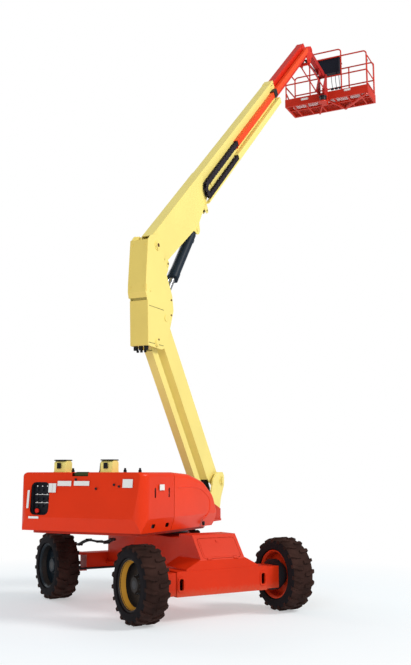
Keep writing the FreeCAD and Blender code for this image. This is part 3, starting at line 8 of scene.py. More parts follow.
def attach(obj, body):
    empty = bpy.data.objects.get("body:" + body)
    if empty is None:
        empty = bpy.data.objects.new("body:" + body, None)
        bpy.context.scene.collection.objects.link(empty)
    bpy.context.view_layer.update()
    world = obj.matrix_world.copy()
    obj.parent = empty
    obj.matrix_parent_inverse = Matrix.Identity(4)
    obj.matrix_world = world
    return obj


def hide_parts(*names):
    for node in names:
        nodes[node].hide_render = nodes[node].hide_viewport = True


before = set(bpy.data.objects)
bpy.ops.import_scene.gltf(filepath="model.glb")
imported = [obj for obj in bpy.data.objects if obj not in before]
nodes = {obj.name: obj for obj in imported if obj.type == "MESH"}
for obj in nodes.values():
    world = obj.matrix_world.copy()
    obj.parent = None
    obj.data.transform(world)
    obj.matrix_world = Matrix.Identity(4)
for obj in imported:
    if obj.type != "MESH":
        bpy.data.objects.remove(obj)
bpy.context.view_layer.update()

# ---------------------------------------------------------------- where it is seen from
# From standing eye height and a good way back, beside the rear left wheel, so that the booms rise
# away to the right.
camera_data = bpy.data.cameras.new("camera")
camera_data.sensor_fit = "VERTICAL"
camera_data.sensor_height = 24  # both in mm
camera_data.lens = 31.037594
camera_data.clip_end = 400
camera = bpy.data.objects.new("camera", camera_data)
camera.location = (-10.711, -6.007, 1.760)
look = Vector((0.888, 0.431, 0.159)).normalized()
camera.rotation_euler = look.to_track_quat("-Z", "Y").to_euler()
bpy.context.scene.collection.objects.link(camera)
bpy.context.scene.camera = camera

# ---------------------------------------------------------------- studio
# A paper floor that fades to the white of the background, so only the soft shadow shows on it. One
# big warm lamp on the right is the key; two white ones, behind the camera and beyond the machine,
# lighten its shadows.
bpy.context.scene.view_settings.view_transform = "Standard"
world = bpy.data.worlds.new("studio")
bpy.context.scene.world = world
world.use_nodes = True
sky = world.node_tree
sky.nodes.clear()
seen = sky.nodes.new("ShaderNodeBackground")
seen.inputs["Color"].default_value = (1, 1, 1, 1)
soft = sky.nodes.new("ShaderNodeBackground")
soft.inputs["Color"].default_value = (0.94, 0.97, 1, 1)
soft.inputs["Strength"].default_value = 0.38
path = sky.nodes.new("ShaderNodeLightPath")
choose = sky.nodes.new("ShaderNodeMixShader")
sky.links.new(path.outputs["Is Camera Ray"], choose.inputs[0])
sky.links.new(soft.outputs[0], choose.inputs[1])
sky.links.new(seen.outputs[0], choose.inputs[2])
shown = sky.nodes.new("ShaderNodeOutputWorld")
sky.links.new(choose.outputs[0], shown.inputs[0])

for name, spot, aim, width, watts, tint in (
    ("key_light", (4, -26, 22), (1, 0, 4), 11, 7400, (1, 0.96, 0.89)),
    ("fill_light", (-26, -6, 12), (0, 0, 3), 14, 2300, (1, 1, 1)),
    ("back_light", (10, 22, 18), (3, 0, 6), 12, 2000, (1, 1, 1)),
):
    lamp = bpy.data.lights.new(name, "AREA")
    lamp.shape, lamp.size, lamp.energy, lamp.color = "DISK", width, watts, tint
    holder = bpy.data.objects.new(name, lamp)
    holder.location = spot
    holder.rotation_euler = (Vector(aim) - Vector(spot)).to_track_quat("-Z", "Y").to_euler()
    bpy.context.scene.collection.objects.link(holder)

floor_mesh = bpy.data.meshes.new("paper_floor")
sheet = bmesh.new()
bmesh.ops.create_circle(sheet, cap_ends=True, segments=96, radius=60)
sheet.to_mesh(floor_mesh)
sheet.free()
paper_floor = bpy.data.objects.new("paper_floor", floor_mesh)
bpy.context.scene.collection.objects.link(paper_floor)
paper = bpy.data.materials.new("paper")
paper.use_nodes = True
tree = paper.node_tree
tree.nodes.clear()
spot = tree.nodes.new("ShaderNodeTexCoord")
away = tree.nodes.new("ShaderNodeVectorMath")
away.operation = "LENGTH"
tree.links.new(spot.outputs["Object"], away.inputs[0])
fade = tree.nodes.new("ShaderNodeMapRange")
fade.inputs["From Min"].default_value = 3.2
fade.inputs["From Max"].default_value = 6.5
fade.inputs["To Min"].default_value = 0.42
fade.inputs["To Max"].default_value = 1.0
tree.links.new(away.outputs["Value"], fade.inputs["Value"])
matt = tree.nodes.new("ShaderNodeBsdfDiffuse")
matt.inputs["Color"].default_value = (0.84, 0.93, 1, 1)
glow = tree.nodes.new("ShaderNodeEmission")
mixed = tree.nodes.new("ShaderNodeMixShader")
tree.links.new(fade.outputs["Result"], mixed.inputs[0])
tree.links.new(matt.outputs[0], mixed.inputs[1])
tree.links.new(glow.outputs[0], mixed.inputs[2])
out = tree.nodes.new("ShaderNodeOutputMaterial")
tree.links.new(mixed.outputs[0], out.inputs[0])
floor_mesh.materials.append(paper)

# ---------------------------------------------------------------- chassis
# Welded steel box with two swept ends, sprayed orange after welding; two hoses are clamped along
# its left side. The chassis stands slewed under the booms, so its parts are laid out in its own
# axes and then turned.
COLOUR_A, COLOUR_B, COLOUR_MIXED = 6, 7, 2  # which sockets of the mix node carry colours
DUST_RAGGED = 0.35  # how far the grain moves the dust's edge, as a share of the dusty height
KNOB_SOFT, KNOB_SOFT_END = 0.15, 0.2  # most that a knob's rims take of its radius and its length
HOSE_SIDES = 10


def surface(name, colour, rough=0.4, metal=0.0, vary=0.10, cloud=2.2, grain=34, relief=0.10,
            coat=0.08, dust=None, dust_from=0.0, dust_to=1.0, wear=None):
    """A finish on Object coordinates: cloudy colour, grain in gloss and relief, dust low down."""
    made = bpy.data.materials.new(name)
    made.use_nodes = True
    tree = made.node_tree
    link = tree.links.new
    shader = tree.nodes["Principled BSDF"]
    shader.inputs["Metallic"].default_value = metal
    shader.inputs["Coat Weight"].default_value = coat
    shader.inputs["Coat Roughness"].default_value = 0.2
    shader.inputs["Specular IOR Level"].default_value = 0.14
    spot = tree.nodes.new("ShaderNodeTexCoord")

    def noise(scale, detail):
        field = tree.nodes.new("ShaderNodeTexNoise")
        field.inputs["Scale"].default_value = scale
        field.inputs["Detail"].default_value = detail
        link(spot.outputs["Object"], field.inputs["Vector"])
        return field.outputs["Fac"]

    def blend(low, high, by, start, end):
        ramp = tree.nodes.new("ShaderNodeMapRange")
        ramp.inputs["From Min"].default_value = start
        ramp.inputs["From Max"].default_value = end
        link(by, ramp.inputs["Value"])
        mix = tree.nodes.new("ShaderNodeMix")
        mix.data_type = "RGBA"
        link(ramp.outputs["Result"], mix.inputs["Factor"])
        for value, socket in ((low, mix.inputs[COLOUR_A]), (high, mix.inputs[COLOUR_B])):
            if isinstance(value, tuple):
                socket.default_value = (*value, 1)
            else:
                link(value, socket)
        return mix.outputs[COLOUR_MIXED]

    fine = noise(grain, 4)
    tint = blend(tuple(c * (1 - vary) for c in colour), colour, noise(cloud, 5), 0.35, 0.68)
    if wear:
        tint = blend(tint, wear, noise(grain * 0.6, 6), 0.66, 0.74)
    if dust:
        height = tree.nodes.new("ShaderNodeSeparateXYZ")
        link(spot.outputs["Object"], height.inputs[0])
        low = tree.nodes.new("ShaderNodeMath")
        low.operation = "MULTIPLY_ADD"
        link(fine, low.inputs[0])
        low.inputs[1].default_value = DUST_RAGGED * (dust_to - dust_from)
        link(height.outputs["Z"], low.inputs[2])
        tint = blend(dust, tint, low.outputs[0], dust_from, dust_to)
    link(tint, shader.inputs["Base Color"])
    gloss = tree.nodes.new("ShaderNodeMapRange")
    gloss.inputs["To Min"].default_value = max(rough - 0.06, 0.05)
    gloss.inputs["To Max"].default_value = min(rough + 0.12, 1)
    link(fine, gloss.inputs["Value"])
    link(gloss.outputs["Result"], shader.inputs["Roughness"])
    ripple = tree.nodes.new("ShaderNodeBump")
    ripple.inputs["Strength"].default_value = relief
    ripple.inputs["Distance"].default_value = 0.002
    link(fine, ripple.inputs["Height"])
    link(ripple.outputs["Normal"], shader.inputs["Normal"])
    return made


def dress(material, *names):
    """Gives a node's own shape a finish."""
    for name in names:
        mesh = nodes[name].data
        mesh.materials.clear()
        mesh.materials.append(material)


def slab(form, x, y, z, bevel=0.004, turn=None):
    """A box with softened edges between two corners."""
    size = Vector((x[1] - x[0], y[1] - y[0], z[1] - z[0]))
    middle = Vector((sum(x), sum(y), sum(z))) / 2
    place = Matrix.Translation(middle) @ (turn or Matrix()) @ Matrix.Diagonal((*size, 1))
    made = bmesh.ops.create_cube(form, size=1, matrix=place)
    edges = list({edge for vertex in made["verts"] for edge in vertex.link_edges})
    bmesh.ops.bevel(form, geom=edges, offset=min(bevel, min(size) * 0.4), segments=2,
                    affect="EDGES")


def skin(form, rings):
    """Joins rings of vertices into a closed tube."""
    for one, two in zip(rings, rings[1:]):
        for i in range(len(one)):
            form.faces.new((one[i - 1], one[i], two[i], two[i - 1]))
    form.faces.new(rings[0][::-1])
    form.faces.new(rings[-1])


def lathe(form, start, end, section, steps=20):
    """Turns a section of (share of the length, radius) round the line from start to end."""
    start, end = Vector(start), Vector(end)
    turn = (end - start).to_track_quat("Z", "Y").to_matrix()
    angles = [2 * math.pi * i / steps for i in range(steps)]
    rings = []
    for share, radius in section:
        spokes = [turn @ Vector((radius * math.cos(a), radius * math.sin(a), 0)) for a in angles]
        rings.append([form.verts.new(start.lerp(end, share) + spoke) for spoke in spokes])
    skin(form, rings)


def knob(form, start, end, radius, steps=20):
    """A round piece with softened rims."""
    length = (Vector(end) - Vector(start)).length
    soft = min(radius * KNOB_SOFT, length * KNOB_SOFT_END)
    lathe(form, start, end, ((0, radius - soft), (soft / length, radius),
                             (1 - soft / length, radius), (1, radius - soft)), steps)


def hose(form, points, radius, cuts=8):
    """A hose of one thickness on a Catmull-Rom curve through points."""
    points = [Vector(p) for p in points]
    path = [points[0] * 2 - points[1]] + points + [points[-1] * 2 - points[-2]]
    line = []
    for a, b, c, d in zip(path, path[1:], path[2:], path[3:]):
        for i in range(cuts):
            t = i / cuts
            line.append(0.5 * (2 * b + (c - a) * t + (2 * a - 5 * b + 4 * c - d) * t * t
                               + (3 * b - a - 3 * c + d) * t ** 3))
    line.append(points[-1])
    angles = [2 * math.pi * i / HOSE_SIDES for i in range(HOSE_SIDES)]
    rings = []
    across = (line[1] - line[0]).orthogonal().normalized()
    for i, place in enumerate(line):
        along = (line[min(i + 1, len(line) - 1)] - line[max(i - 1, 0)]).normalized()
        across = (across - along * across.dot(along)).normalized()
        side = along.cross(across)
        rings.append([form.verts.new(place + radius * (across * math.cos(a) + side * math.sin(a)))
                      for a in angles])
    skin(form, rings)


def piece(name, form, material, body, turn=None, sharp=0.6):
    """Turns a form into a named piece that rides on a body."""
    mesh = bpy.data.meshes.new(name)
    bmesh.ops.recalc_face_normals(form, faces=form.faces)
    form.to_mesh(mesh)
    form.free()
    if turn is not None:
        mesh.transform(turn)
    mesh.shade_smooth()
    mesh.set_sharp_from_angle(angle=sharp)
    mesh.materials.append(material)
    thing = bpy.data.objects.new(name, mesh)
    bpy.context.scene.collection.objects.link(thing)
    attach(thing, body)
    return thing


DUST = (0.36, 0.17, 0.10)
frame_orange = surface("frame_orange", (0.66, 0.030, 0.004), rough=0.42, dust=DUST,
                       dust_from=0.12, dust_to=0.45)
satin_black = surface("satin_black", (0.016, 0.017, 0.020), rough=0.5, wear=(0.05, 0.05, 0.055))
greasy_steel = surface("greasy_steel", (0.06, 0.06, 0.065), rough=0.45, metal=0.6, vary=0.3)
hose_black = surface("hose_black", (0.012, 0.012, 0.013), rough=0.62, grain=120, coat=0)
blank_white = surface("blank_white", (0.80, 0.80, 0.78), rough=0.35, vary=0.05,
                      dust=(0.5, 0.45, 0.4))
dress(frame_orange, "chassis_frame", "rear_beam", "rear_hatch", "front_axle")
dress(satin_black, "drive_hubs", "left_knuckle", "right_knuckle", "tie_rod")
dress(greasy_steel, "slew_ring")
CHASSIS_SLEW = 58
chassis_turn = Matrix.Rotation(math.radians(CHASSIS_SLEW), 4, "Z")

OUTER_HOSE, INNER_HOSE = 0.60, 0.56  # how far out each one runs
form = bmesh.new()
hose(form, [(x, OUTER_HOSE, z) for x, z in (
    (1.18, 0.70), (1.0, 0.755), (0.82, 0.785), (0.52, 0.785), (0.26, 0.80), (0.08, 0.845))], 0.016)
hose(form, [(x, INNER_HOSE, z) for x, z in (
    (1.18, 0.70), (1.0, 0.75), (0.82, 0.775), (0.52, 0.775), (0.26, 0.79), (0.08, 0.835))], 0.011)
piece("chassis_hoses", form, hose_black, "chassis", chassis_turn)
form = bmesh.new()
for x, z in ((1.17, 0.70), (0.09, 0.84)):
    for y in (OUTER_HOSE, INNER_HOSE):
        knob(form, (x - 0.02, y, z), (x + 0.03, y, z), 0.021, 12)
for x in (0.86, 0.5, 0.27):
    slab(form, (x - 0.012, x + 0.012), (0.535, 0.63), (0.768, 0.802), 0.003)
piece("hose_fittings", form, greasy_steel, "chassis", chassis_turn)

# ---------------------------------------------------------------- tyres
# Foam-filled field tyres: a moulded carcass with bevelled lugs that lap over each shoulder by
# turns. The lug of each side is one piece, set round the axle by a node group and joined in.


def copies(name, *inputs):
    """Starts geometry nodes that copy a piece onto points, which the caller still has to give."""
    group = bpy.data.node_groups.new(name, "GeometryNodeTree")
    group.interface.new_socket("Geometry", in_out="OUTPUT", socket_type="NodeSocketGeometry")
    for word, kind in (*inputs, ("Piece", "Object")):
        group.interface.new_socket(word, in_out="INPUT", socket_type="NodeSocket" + kind)
    made, link = group.nodes.new, group.links.new
    entry, leave = made("NodeGroupInput"), made("NodeGroupOutput")
    info = made("GeometryNodeObjectInfo")
    info.inputs["As Instance"].default_value = True
    link(entry.outputs["Piece"], info.inputs["Object"])
    spread = made("GeometryNodeInstanceOnPoints")
    link(info.outputs["Geometry"], spread.inputs["Instance"])
    solid = made("GeometryNodeRealizeInstances")
    link(spread.outputs[0], solid.inputs[0])
    link(solid.outputs[0], leave.inputs[0])
    return group, entry, spread


def ring_group():
    """Geometry nodes that set a piece round the Y axis a number of times."""
    group, entry, spread = copies("around", ("Count", "Int"), ("Start", "Float"))
    made, link = group.nodes.new, group.links.new
    line = made("GeometryNodeMeshLine")
    line.inputs["Offset"].default_value = (0, 0, 0)
    link(entry.outputs["Count"], line.inputs["Count"])
    link(line.outputs["Mesh"], spread.inputs["Points"])
    index = made("GeometryNodeInputIndex")
    share = made("ShaderNodeMath")
    share.operation = "DIVIDE"
    link(index.outputs[0], share.inputs[0])
    link(entry.outputs["Count"], share.inputs[1])
    angle = made("ShaderNodeMath")
    angle.operation = "MULTIPLY_ADD"
    link(share.outputs[0], angle.inputs[0])
    angle.inputs[1].default_value = 2 * math.pi
    link(entry.outputs["Start"], angle.inputs[2])
    turn = made("ShaderNodeCombineXYZ")
    link(angle.outputs[0], turn.inputs["Y"])
    link(turn.outputs[0], spread.inputs["Rotation"])
    return group


def studs_group():
    """Geometry nodes that set a piece on every vertex of a host."""
    group, entry, spread = copies("studs", ("Host", "Geometry"))
    group.links.new(entry.outputs["Host"], spread.inputs["Points"])
    return group


def loose(form):
    """A piece that is only handed to a node group."""
    mesh = bpy.data.meshes.new("pattern")
    bmesh.ops.recalc_face_normals(form, faces=form.faces)
    form.to_mesh(mesh)
    form.free()
    thing = bpy.data.objects.new("pattern", mesh)
    bpy.context.scene.collection.objects.link(thing)
    return thing


def grow(group, spots=(), **inputs):
    """Runs a node group once and gives back what it made as a plain mesh."""
    mesh = bpy.data.meshes.new("host")
    mesh.from_pydata([tuple(p) for p in spots], [], [])
    host = bpy.data.objects.new("host", mesh)
    bpy.context.scene.collection.objects.link(host)
    runner = host.modifiers.new("grow", "NODES")
    runner.node_group = group
    for item in group.interface.items_tree:
        if item.in_out == "INPUT" and item.name in inputs:
            runner[item.identifier] = inputs[item.name]
    shown = host.evaluated_get(bpy.context.evaluated_depsgraph_get())
    made = bpy.data.meshes.new_from_object(shown)
    host.modifiers.remove(runner)
    bpy.data.objects.remove(host)
    bpy.data.objects.remove(inputs["Piece"])
    return made


def open_ends(form):
    """Takes the two end discs off a turned form."""
    for face in [f for f in form.faces if len(f.verts) > 4]:
        form.faces.remove(face)


around, studs = ring_group(), studs_group()
tyre_rubber = surface("tyre_rubber", (0.010, 0.008, 0.010), rough=0.8, vary=0.35, cloud=5,
                      grain=60, relief=0.3, coat=0)
tread_rubber = surface("tread_rubber", (0.042, 0.018, 0.014), rough=0.88, vary=0.55, cloud=4,
                       grain=40, relief=0.4, coat=0)
wheel_spots = {"left_rear": (-1.6, 1.04), "right_rear": (-1.6, -1.04),
               "left_front": (0.9, 1.04), "right_front": (0.9, -1.04)}
AXLE_HEIGHT = 0.457
TREADS = 19
TYRE_HALF = 0.165
CARCASS = ((0.0, 0.312), (0.0, 0.36), (0.01, 0.39), (0.06, 0.418), (0.14, 0.432), (0.3, 0.437),
           (0.5, 0.439), (0.7, 0.437), (0.86, 0.432), (0.94, 0.418), (0.99, 0.39), (1.0, 0.36),
           (1.0, 0.312), (0.5, 0.300))
LUG = ((0.004, -0.030), (0.060, -0.034), (0.125, -0.012), (0.160, 0.004), (0.160, 0.050),
       (0.118, 0.038), (0.055, 0.010), (0.004, 0.012))
LUG_DRAW = 0.86  # the size of a lug's top, as a share of its foot's
LUG_END = 0.15  # past this, across the tyre, a lug keeps its full reach to the top
SHOULDER = 0.12  # past this it turns down over the shoulder
CROWN_RADII, SHOULDER_RADII = (0.425, 0.4555), (0.385, 0.437)  # of a lug's foot and its top
TREAD_RADIUS = 0.428  # faces that reach past this are tread, the others are sidewall


def at_wheel(corner):
    """Where a form made round the Y axis sits on its axle."""
    x, y = wheel_spots[corner]
    return chassis_turn @ Matrix.Translation((x, y, AXLE_HEIGHT))


def make_lug(side):
    """One lug, from the tread's middle out over one shoulder."""
    lug = bmesh.new()
    middle = [sum(p[k] for p in LUG) / len(LUG) for k in (0, 1)]
    rows = []
    for lift, draw in ((0.0, 1.0), (1.0, LUG_DRAW)):
        row = []
        for across, along in LUG:
            across = middle[0] + (across - middle[0]) * (draw if across < LUG_END else 1)
            along = middle[1] + (along - middle[1]) * draw
            low, high = CROWN_RADII if across < SHOULDER else SHOULDER_RADII
            row.append(lug.verts.new((along, side * across, low + (high - low) * lift)))
        rows.append(row)
    foot, top = rows
    for i in range(len(LUG)):
        lug.faces.new((foot[i - 1], foot[i], top[i], top[i - 1]))
    lug.faces.new(foot[::-1])
    lug.faces.new(top)
    return lug


for corner in wheel_spots:
    form = bmesh.new()
    lathe(form, (0, -TYRE_HALF, 0), (0, TYRE_HALF, 0), CARCASS, 72)
    open_ends(form)
    for side, start in ((1, 0.0), (-1, math.pi / TREADS)):
        form.from_mesh(grow(around, Piece=loose(make_lug(side)), Count=TREADS, Start=start))
    for face in form.faces:
        far = max(math.hypot(v.co.x, v.co.z) for v in face.verts)
        face.material_index = 1 if far > TREAD_RADIUS else 0
    tyre = piece(corner + "_tread", form, tyre_rubber, corner + "_wheel",
                 at_wheel(corner), 0.5)
    tyre.data.materials.append(tread_rubber)
    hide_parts(corner + "_tyre")

# ---------------------------------------------------------------- rims
# Pressed dish rims, each with ten hub bolts round a cap; the dishes are painted once fitted, so
# they are not all the same colour.
rim_black = surface("rim_black", (0.008, 0.008, 0.009), rough=0.45, dust=(0.04, 0.03, 0.025))
rim_teal = surface("rim_teal", (0.012, 0.020, 0.028), rough=0.45)
rim_orange = surface("rim_orange", (0.62, 0.045, 0.008), rough=0.45)
dress(rim_black, "left_rear_rim", "right_front_rim")
dress(rim_teal, "left_front_rim")
dress(rim_orange, "right_rear_rim")
rim_gold = surface("rim_gold", (0.62, 0.30, 0.035), rough=0.4)
BOLT_CIRCLE, HUB_BOLTS, FIRST_BOLT = 0.105, 10, 0.2
for corner, (_, y) in wheel_spots.items():
    out = 1 if y > 0 else -1
    bolt = bmesh.new()
    lathe(bolt, (BOLT_CIRCLE, out * 0.03, 0), (BOLT_CIRCLE, out * 0.066, 0),
          ((0, 0.017), (0.5, 0.017), (0.5, 0.009), (1, 0.008)), 6)
    form = bmesh.new()
    form.from_mesh(grow(around, Piece=loose(bolt), Count=HUB_BOLTS, Start=FIRST_BOLT))
    knob(form, (0, out * 0.03, 0), (0, out * 0.085, 0), 0.058, 24)
    piece(corner + "_hub_bolts", form, greasy_steel, corner + "_wheel",
          at_wheel(corner))
    form = bmesh.new()
    lathe(form, (0, out * 0.06, 0), (0, out * 0.13, 0),
          ((0.0, 0.262), (0.1, 0.270), (0.9, 0.283), (1.0, 0.283), (1.0, 0.276), (0.0, 0.255)), 48)
    open_ends(form)
    band_paint = rim_gold if corner == "left_rear" else rim_black
    piece(corner + "_rim_band", form, band_paint, corner + "_wheel", at_wheel(corner))

# ---------------------------------------------------------------- turntable
# Deck and tower stand welded from plate; the moulded tail and hoods are gel-coated orange, and
# plates with nothing on them are bonded to the tail's leaning back.
hood_orange = surface("hood_orange", (0.82, 0.040, 0.002), rough=0.30, vary=0.06, coat=0.15,
                      dust=(0.42, 0.12, 0.05), dust_from=0.72, dust_to=1.04)
tail_orange = surface("tail_orange", (0.74, 0.034, 0.003), rough=0.34, vary=0.06, coat=0.12)
deck_orange = surface("deck_orange", (0.58, 0.028, 0.008), rough=0.42, dust=DUST, dust_from=0.6,
                      dust_to=1.1)
boom_cream = surface("boom_cream", (0.86, 0.73, 0.23), rough=0.36, vary=0.05, cloud=1.4)
# A darker copy of the boom cream that paints shade into the colour: painted shade on the upright's
# rear covers and along the base boom's seam.
boom_cream_painted_shade = surface("boom_cream_painted_shade", (0.80, 0.62, 0.16), rough=0.4, vary=0.06)
ballast_grey = surface("ballast_grey", (0.10, 0.10, 0.11), rough=0.75, vary=0.25, relief=0.5,
                       coat=0)
case_black = surface("case_black", (0.015, 0.016, 0.022), rough=0.5, grain=90, coat=0)
dress(hood_orange, "left_hood", "right_hood")
dress(tail_orange, "tail_casing")
dress(deck_orange, "turntable_deck")
dress(boom_cream, "tower_pedestal", "boom_rests")
dress(ballast_grey, "counterweight")
dress(case_black, "battery_pack", "power_unit", "ground_controls")

TAIL_TOP = 1.742
TAIL_BACK, TAIL_FOLD = -1.884, 1.25  # the tail's rearmost line, and its height
LEAN_BELOW, LEAN_ABOVE = 0.2, 0.0933  # how far the face goes in per metre, either side of it
LEAN_START, FACE_INSET = 1.30, 0.005  # the upper face is measured from here, and set in a little


def tail_x(z):
    """How far back the tail's leaning face is at a height."""
    if z > TAIL_FOLD:
        return TAIL_BACK + (z - LEAN_START) * LEAN_ABOVE + FACE_INSET
    return TAIL_BACK + (TAIL_FOLD - z) * LEAN_BELOW


def sheet_plate(form, y, z, thick=0.004, lift=0.003):
    """A thin plate lying on the tail's back."""
    corners = []
    for depth in (lift, lift + thick):
        for b, a in ((y[0], z[0]), (y[1], z[0]), (y[1], z[1]), (y[0], z[1])):
            corners.append(form.verts.new((tail_x(a) - depth, b, a)))
    form.faces.new(corners[:4])
    form.faces.new(corners[4:][::-1])
    for i in range(4):
        j = (i + 1) % 4
        form.faces.new((corners[i], corners[j], corners[4 + j], corners[4 + i]))


form = bmesh.new()
for y, z in (((0.33, 0.383), (1.50, 1.61)), ((0.387, 0.44), (1.50, 1.61)),
             ((0.11, 0.31), (1.58, 1.64)), ((-0.15, 0.07), (1.585, 1.64)),
             ((-0.755, -0.62), (1.565, 1.665)), ((0.57, 0.72), (1.182, 1.208)),
             ((0.722, 0.752), (1.305, 1.525))):
    sheet_plate(form, y, z)
piece("tail_plates", form, blank_white, "turntable")
form = bmesh.new()
for y, z in ((-0.57, 1.58), (-0.50, 1.60), (0.05, 1.66), (-0.25, 1.55)):
    knob(form, (tail_x(z) + 0.002, y, z), (tail_x(z) - 0.014, y, z), 0.014, 14)
piece("tail_buttons", form, case_black, "turntable")
form = bmesh.new()
slab(form, (-1.80, -1.74), (-0.105, 0.105), (1.699, TAIL_TOP), 0.006)
slab(form, (-1.79, -1.75), (-0.085, 0.085), (1.735, 1.750), 0.004)
olive = surface("olive_green", (0.055, 0.075, 0.020), rough=0.6, vary=0.3)
piece("notch_block", form, olive, "turntable")
form = bmesh.new()
lathe(form, (-1.70, -0.22, TAIL_TOP), (-1.70, -0.22, 1.868),
      ((0, 0.030), (0.1, 0.030), (0.15, 0.024), (0.85, 0.017), (1, 0.009)))
for y in (-0.57, -0.777, 0.18):
    lathe(form, (-1.72, y, TAIL_TOP), (-1.72, y, 1.796),
          ((0, 0.020), (0.5, 0.020), (0.6, 0.014), (1, 0.012)))
piece("tail_top_fittings", form, case_black, "turntable")

form = bmesh.new()
for y in (0.50, 0.575, 0.65):
    for z in (1.375, 1.475, 1.575):
        knob(form, (-1.795, y, z), (-1.803, y, z), 0.008, 10)
for z in (1.37, 1.47):
    slab(form, (-1.786, -1.780), (0.46, 0.69), (z - 0.003, z + 0.003), 0.001)
piece("station_marks", form, blank_white, "turntable")
form = bmesh.new()
lathe(form, (-1.79, 0.64, 1.272), (-1.826, 0.64, 1.272),
      ((0, 0.018), (0.35, 0.020), (0.4, 0.030), (0.8, 0.030), (1, 0.022)))
button_red = surface("button_red", (0.75, 0.02, 0.01), rough=0.35, vary=0.04)
piece("station_stop_cap", form, button_red, "turntable")

# ---------------------------------------------------------------- casing trim
# Slanted louvres pressed into the vents, a bead moulded along each hood and a latch at its foot;
# a blank plate is bonded to each side, and rubber pads lie on the boom rests.
LOUVRE_SLANT, LOUVRE_FOOT, LOUVRE_STEP = 0.5, 1.452, 0.019
for side, label in ((1, "left"), (-1, "right")):
    form = bmesh.new()
    for x in (-1.57, -1.22):
        for i in range(6):
            z = LOUVRE_FOOT + i * LOUVRE_STEP
            slab(form, (x - 0.016, x + 0.016), sorted((side * 0.897, side * 0.906)),
                 (z, z + 0.008), 0.002, Matrix.Rotation(side * LOUVRE_SLANT, 4, "X"))
    piece(label + "_louvres", form, case_black, "turntable")
    form = bmesh.new()
    slab(form, (-1.49, -1.37), sorted((side * 0.9195, side * 0.9222)), (1.53, 1.60), 0.001)
    piece(label + "_side_plate", form, blank_white, "turntable")
    face = side * 0.9045
    form = bmesh.new()
    hose(form, [(x, face, z) for x, z in (
        (-0.989, 1.553), (-0.663, 1.556), (-0.40, 1.535), (-0.279, 1.499), (-0.15, 1.44),
        (-0.079, 1.382), (-0.060, 1.31), (-0.079, 1.244), (-0.15, 1.18), (-0.279, 1.125))], 0.006)
    piece(label + "_hood_bead", form, hood_orange, label + "_hood")
    form = bmesh.new()
    slab(form, (-0.285, -0.233), sorted((side * 0.893, side * 0.9145)), (1.050, 1.105), 0.006)
    slab(form, (-0.272, -0.246), sorted((side * 0.900, side * 0.9200)), (1.062, 1.080), 0.004)
    piece(label + "_hood_latch", form, case_black, label + "_hood")

REST_Y = 0.34
form = bmesh.new()
for middle in (REST_Y, -REST_Y):
    slab(form, (-1.787, -1.623), (middle - 0.083, middle + 0.083), (1.8855, 1.8995), 0.004)
    slab(form, (-1.800, -1.794), (middle - 0.03, middle + 0.03), (1.79, 1.86), 0.002)
rubber_pad = surface("rubber_pad", (0.012, 0.012, 0.013), rough=0.8, grain=90, coat=0)
piece("rest_pads", form, rubber_pad, "turntable")

# ---------------------------------------------------------------- tower and its link
# Box-section arms folded and welded, painted cream, with blue-black cylinders on chromed rods
# between them; oil pipes lie along the tower and are held by saddles.
dress(boom_cream, "tower_boom", "tower_link", "base_boom", "track_guide")
cylinder_blue = surface("cylinder_blue", (0.010, 0.020, 0.034), rough=0.4)
chrome_rod = surface("chrome_rod", (0.62, 0.63, 0.65), rough=0.15, metal=1.0, vary=0.04, coat=0)
dress(cylinder_blue, "tower_cylinder", "lift_cylinder", "jib_cylinder")
dress(chrome_rod, "tower_rod", "lift_rod", "jib_rod")


def arm_axes(x, z, degrees):
    """The axes of an arm that leans in the machine's own upright plane."""
    return Matrix.Translation((x, 0, z)) @ Matrix.Rotation(-math.radians(degrees), 4, "Y")


PIPE_LIFT = 0.235
tower_turn = arm_axes(x=1.85, z=1.61, degrees=127.4)
form = bmesh.new()
for y in (0.085, 0.060, -0.085):
    hose(form, [(x, y, PIPE_LIFT) for x in (0.32, 0.9, 1.5, 2.1, 2.58)], 0.009, cuts=4)
piece("tower_pipes", form, hose_black, "tower", tower_turn)
form = bmesh.new()
for x in (0.4, 1.0, 1.6, 2.2, 2.5):
    slab(form, (x - 0.012, x + 0.012), (-0.1, 0.1), (0.222, 0.250), 0.003)
piece("tower_pipe_saddles", form, greasy_steel, "tower", tower_turn)

# ---------------------------------------------------------------- upright
# Two flame-cut cheeks tied by webs and shut behind with covers, their pins held by round caps;
# hose ends hang from its foot.
dress(boom_cream, "upright")
# The rear covers take the darker cream, as painted shade on the upright's back.
dress(boom_cream_painted_shade, "upright_covers")
dress(hose_black, "hose_guides")
pin_brown = surface("pin_brown", (0.16, 0.075, 0.030), rough=0.5, metal=0.4, vary=0.3)


def screw_head(form, start, end, radius, tip, steps=20):
    """A head that is straight for over half its height and then drawn in to its tip."""
    lathe(form, start, end, ((0, radius), (0.6, radius), (1, tip)), steps)


form = bmesh.new()
for side in (1, -1):
    lathe(form, (-0.208, side * 0.158, 4.964), (-0.208, side * 0.1655, 4.964),
          ((0, 0.030), (0.5, 0.030), (0.6, 0.020), (1, 0.018)))
    screw_head(form, (0.104, side * 0.146, 4.760), (0.104, side * 0.153, 4.760), 0.018, 0.012)
    for x, z in ((0.223, 4.239), (0.226, 4.014), (-0.145, 3.601)):
        screw_head(form, (x, side * 0.138, z), (x, side * 0.152, z), 0.016, 0.010, 8)
piece("upright_pin_caps", form, pin_brown, "upright")
form = bmesh.new()
for side in (1, -1):
    for z in (3.53, 4.05):
        slab(form, (-0.43, 0.0), sorted((side * 0.1385, side * 0.1425)), (z - 0.003, z + 0.003),
             0.001)
piece("upright_joints", form, case_black, "upright")
form = bmesh.new()
for y in (-0.06, 0.0, 0.06):
    hose(form, ((-0.40, y, 3.60), (-0.40, y, 3.52), (-0.395, y, 3.46), (-0.385, y, 3.41)), 0.013)
    knob(form, (-0.386, y, 3.425), (-0.382, y, 3.395), 0.018, 12)
piece("upright_hose_ends", form, hose_black, "upright")

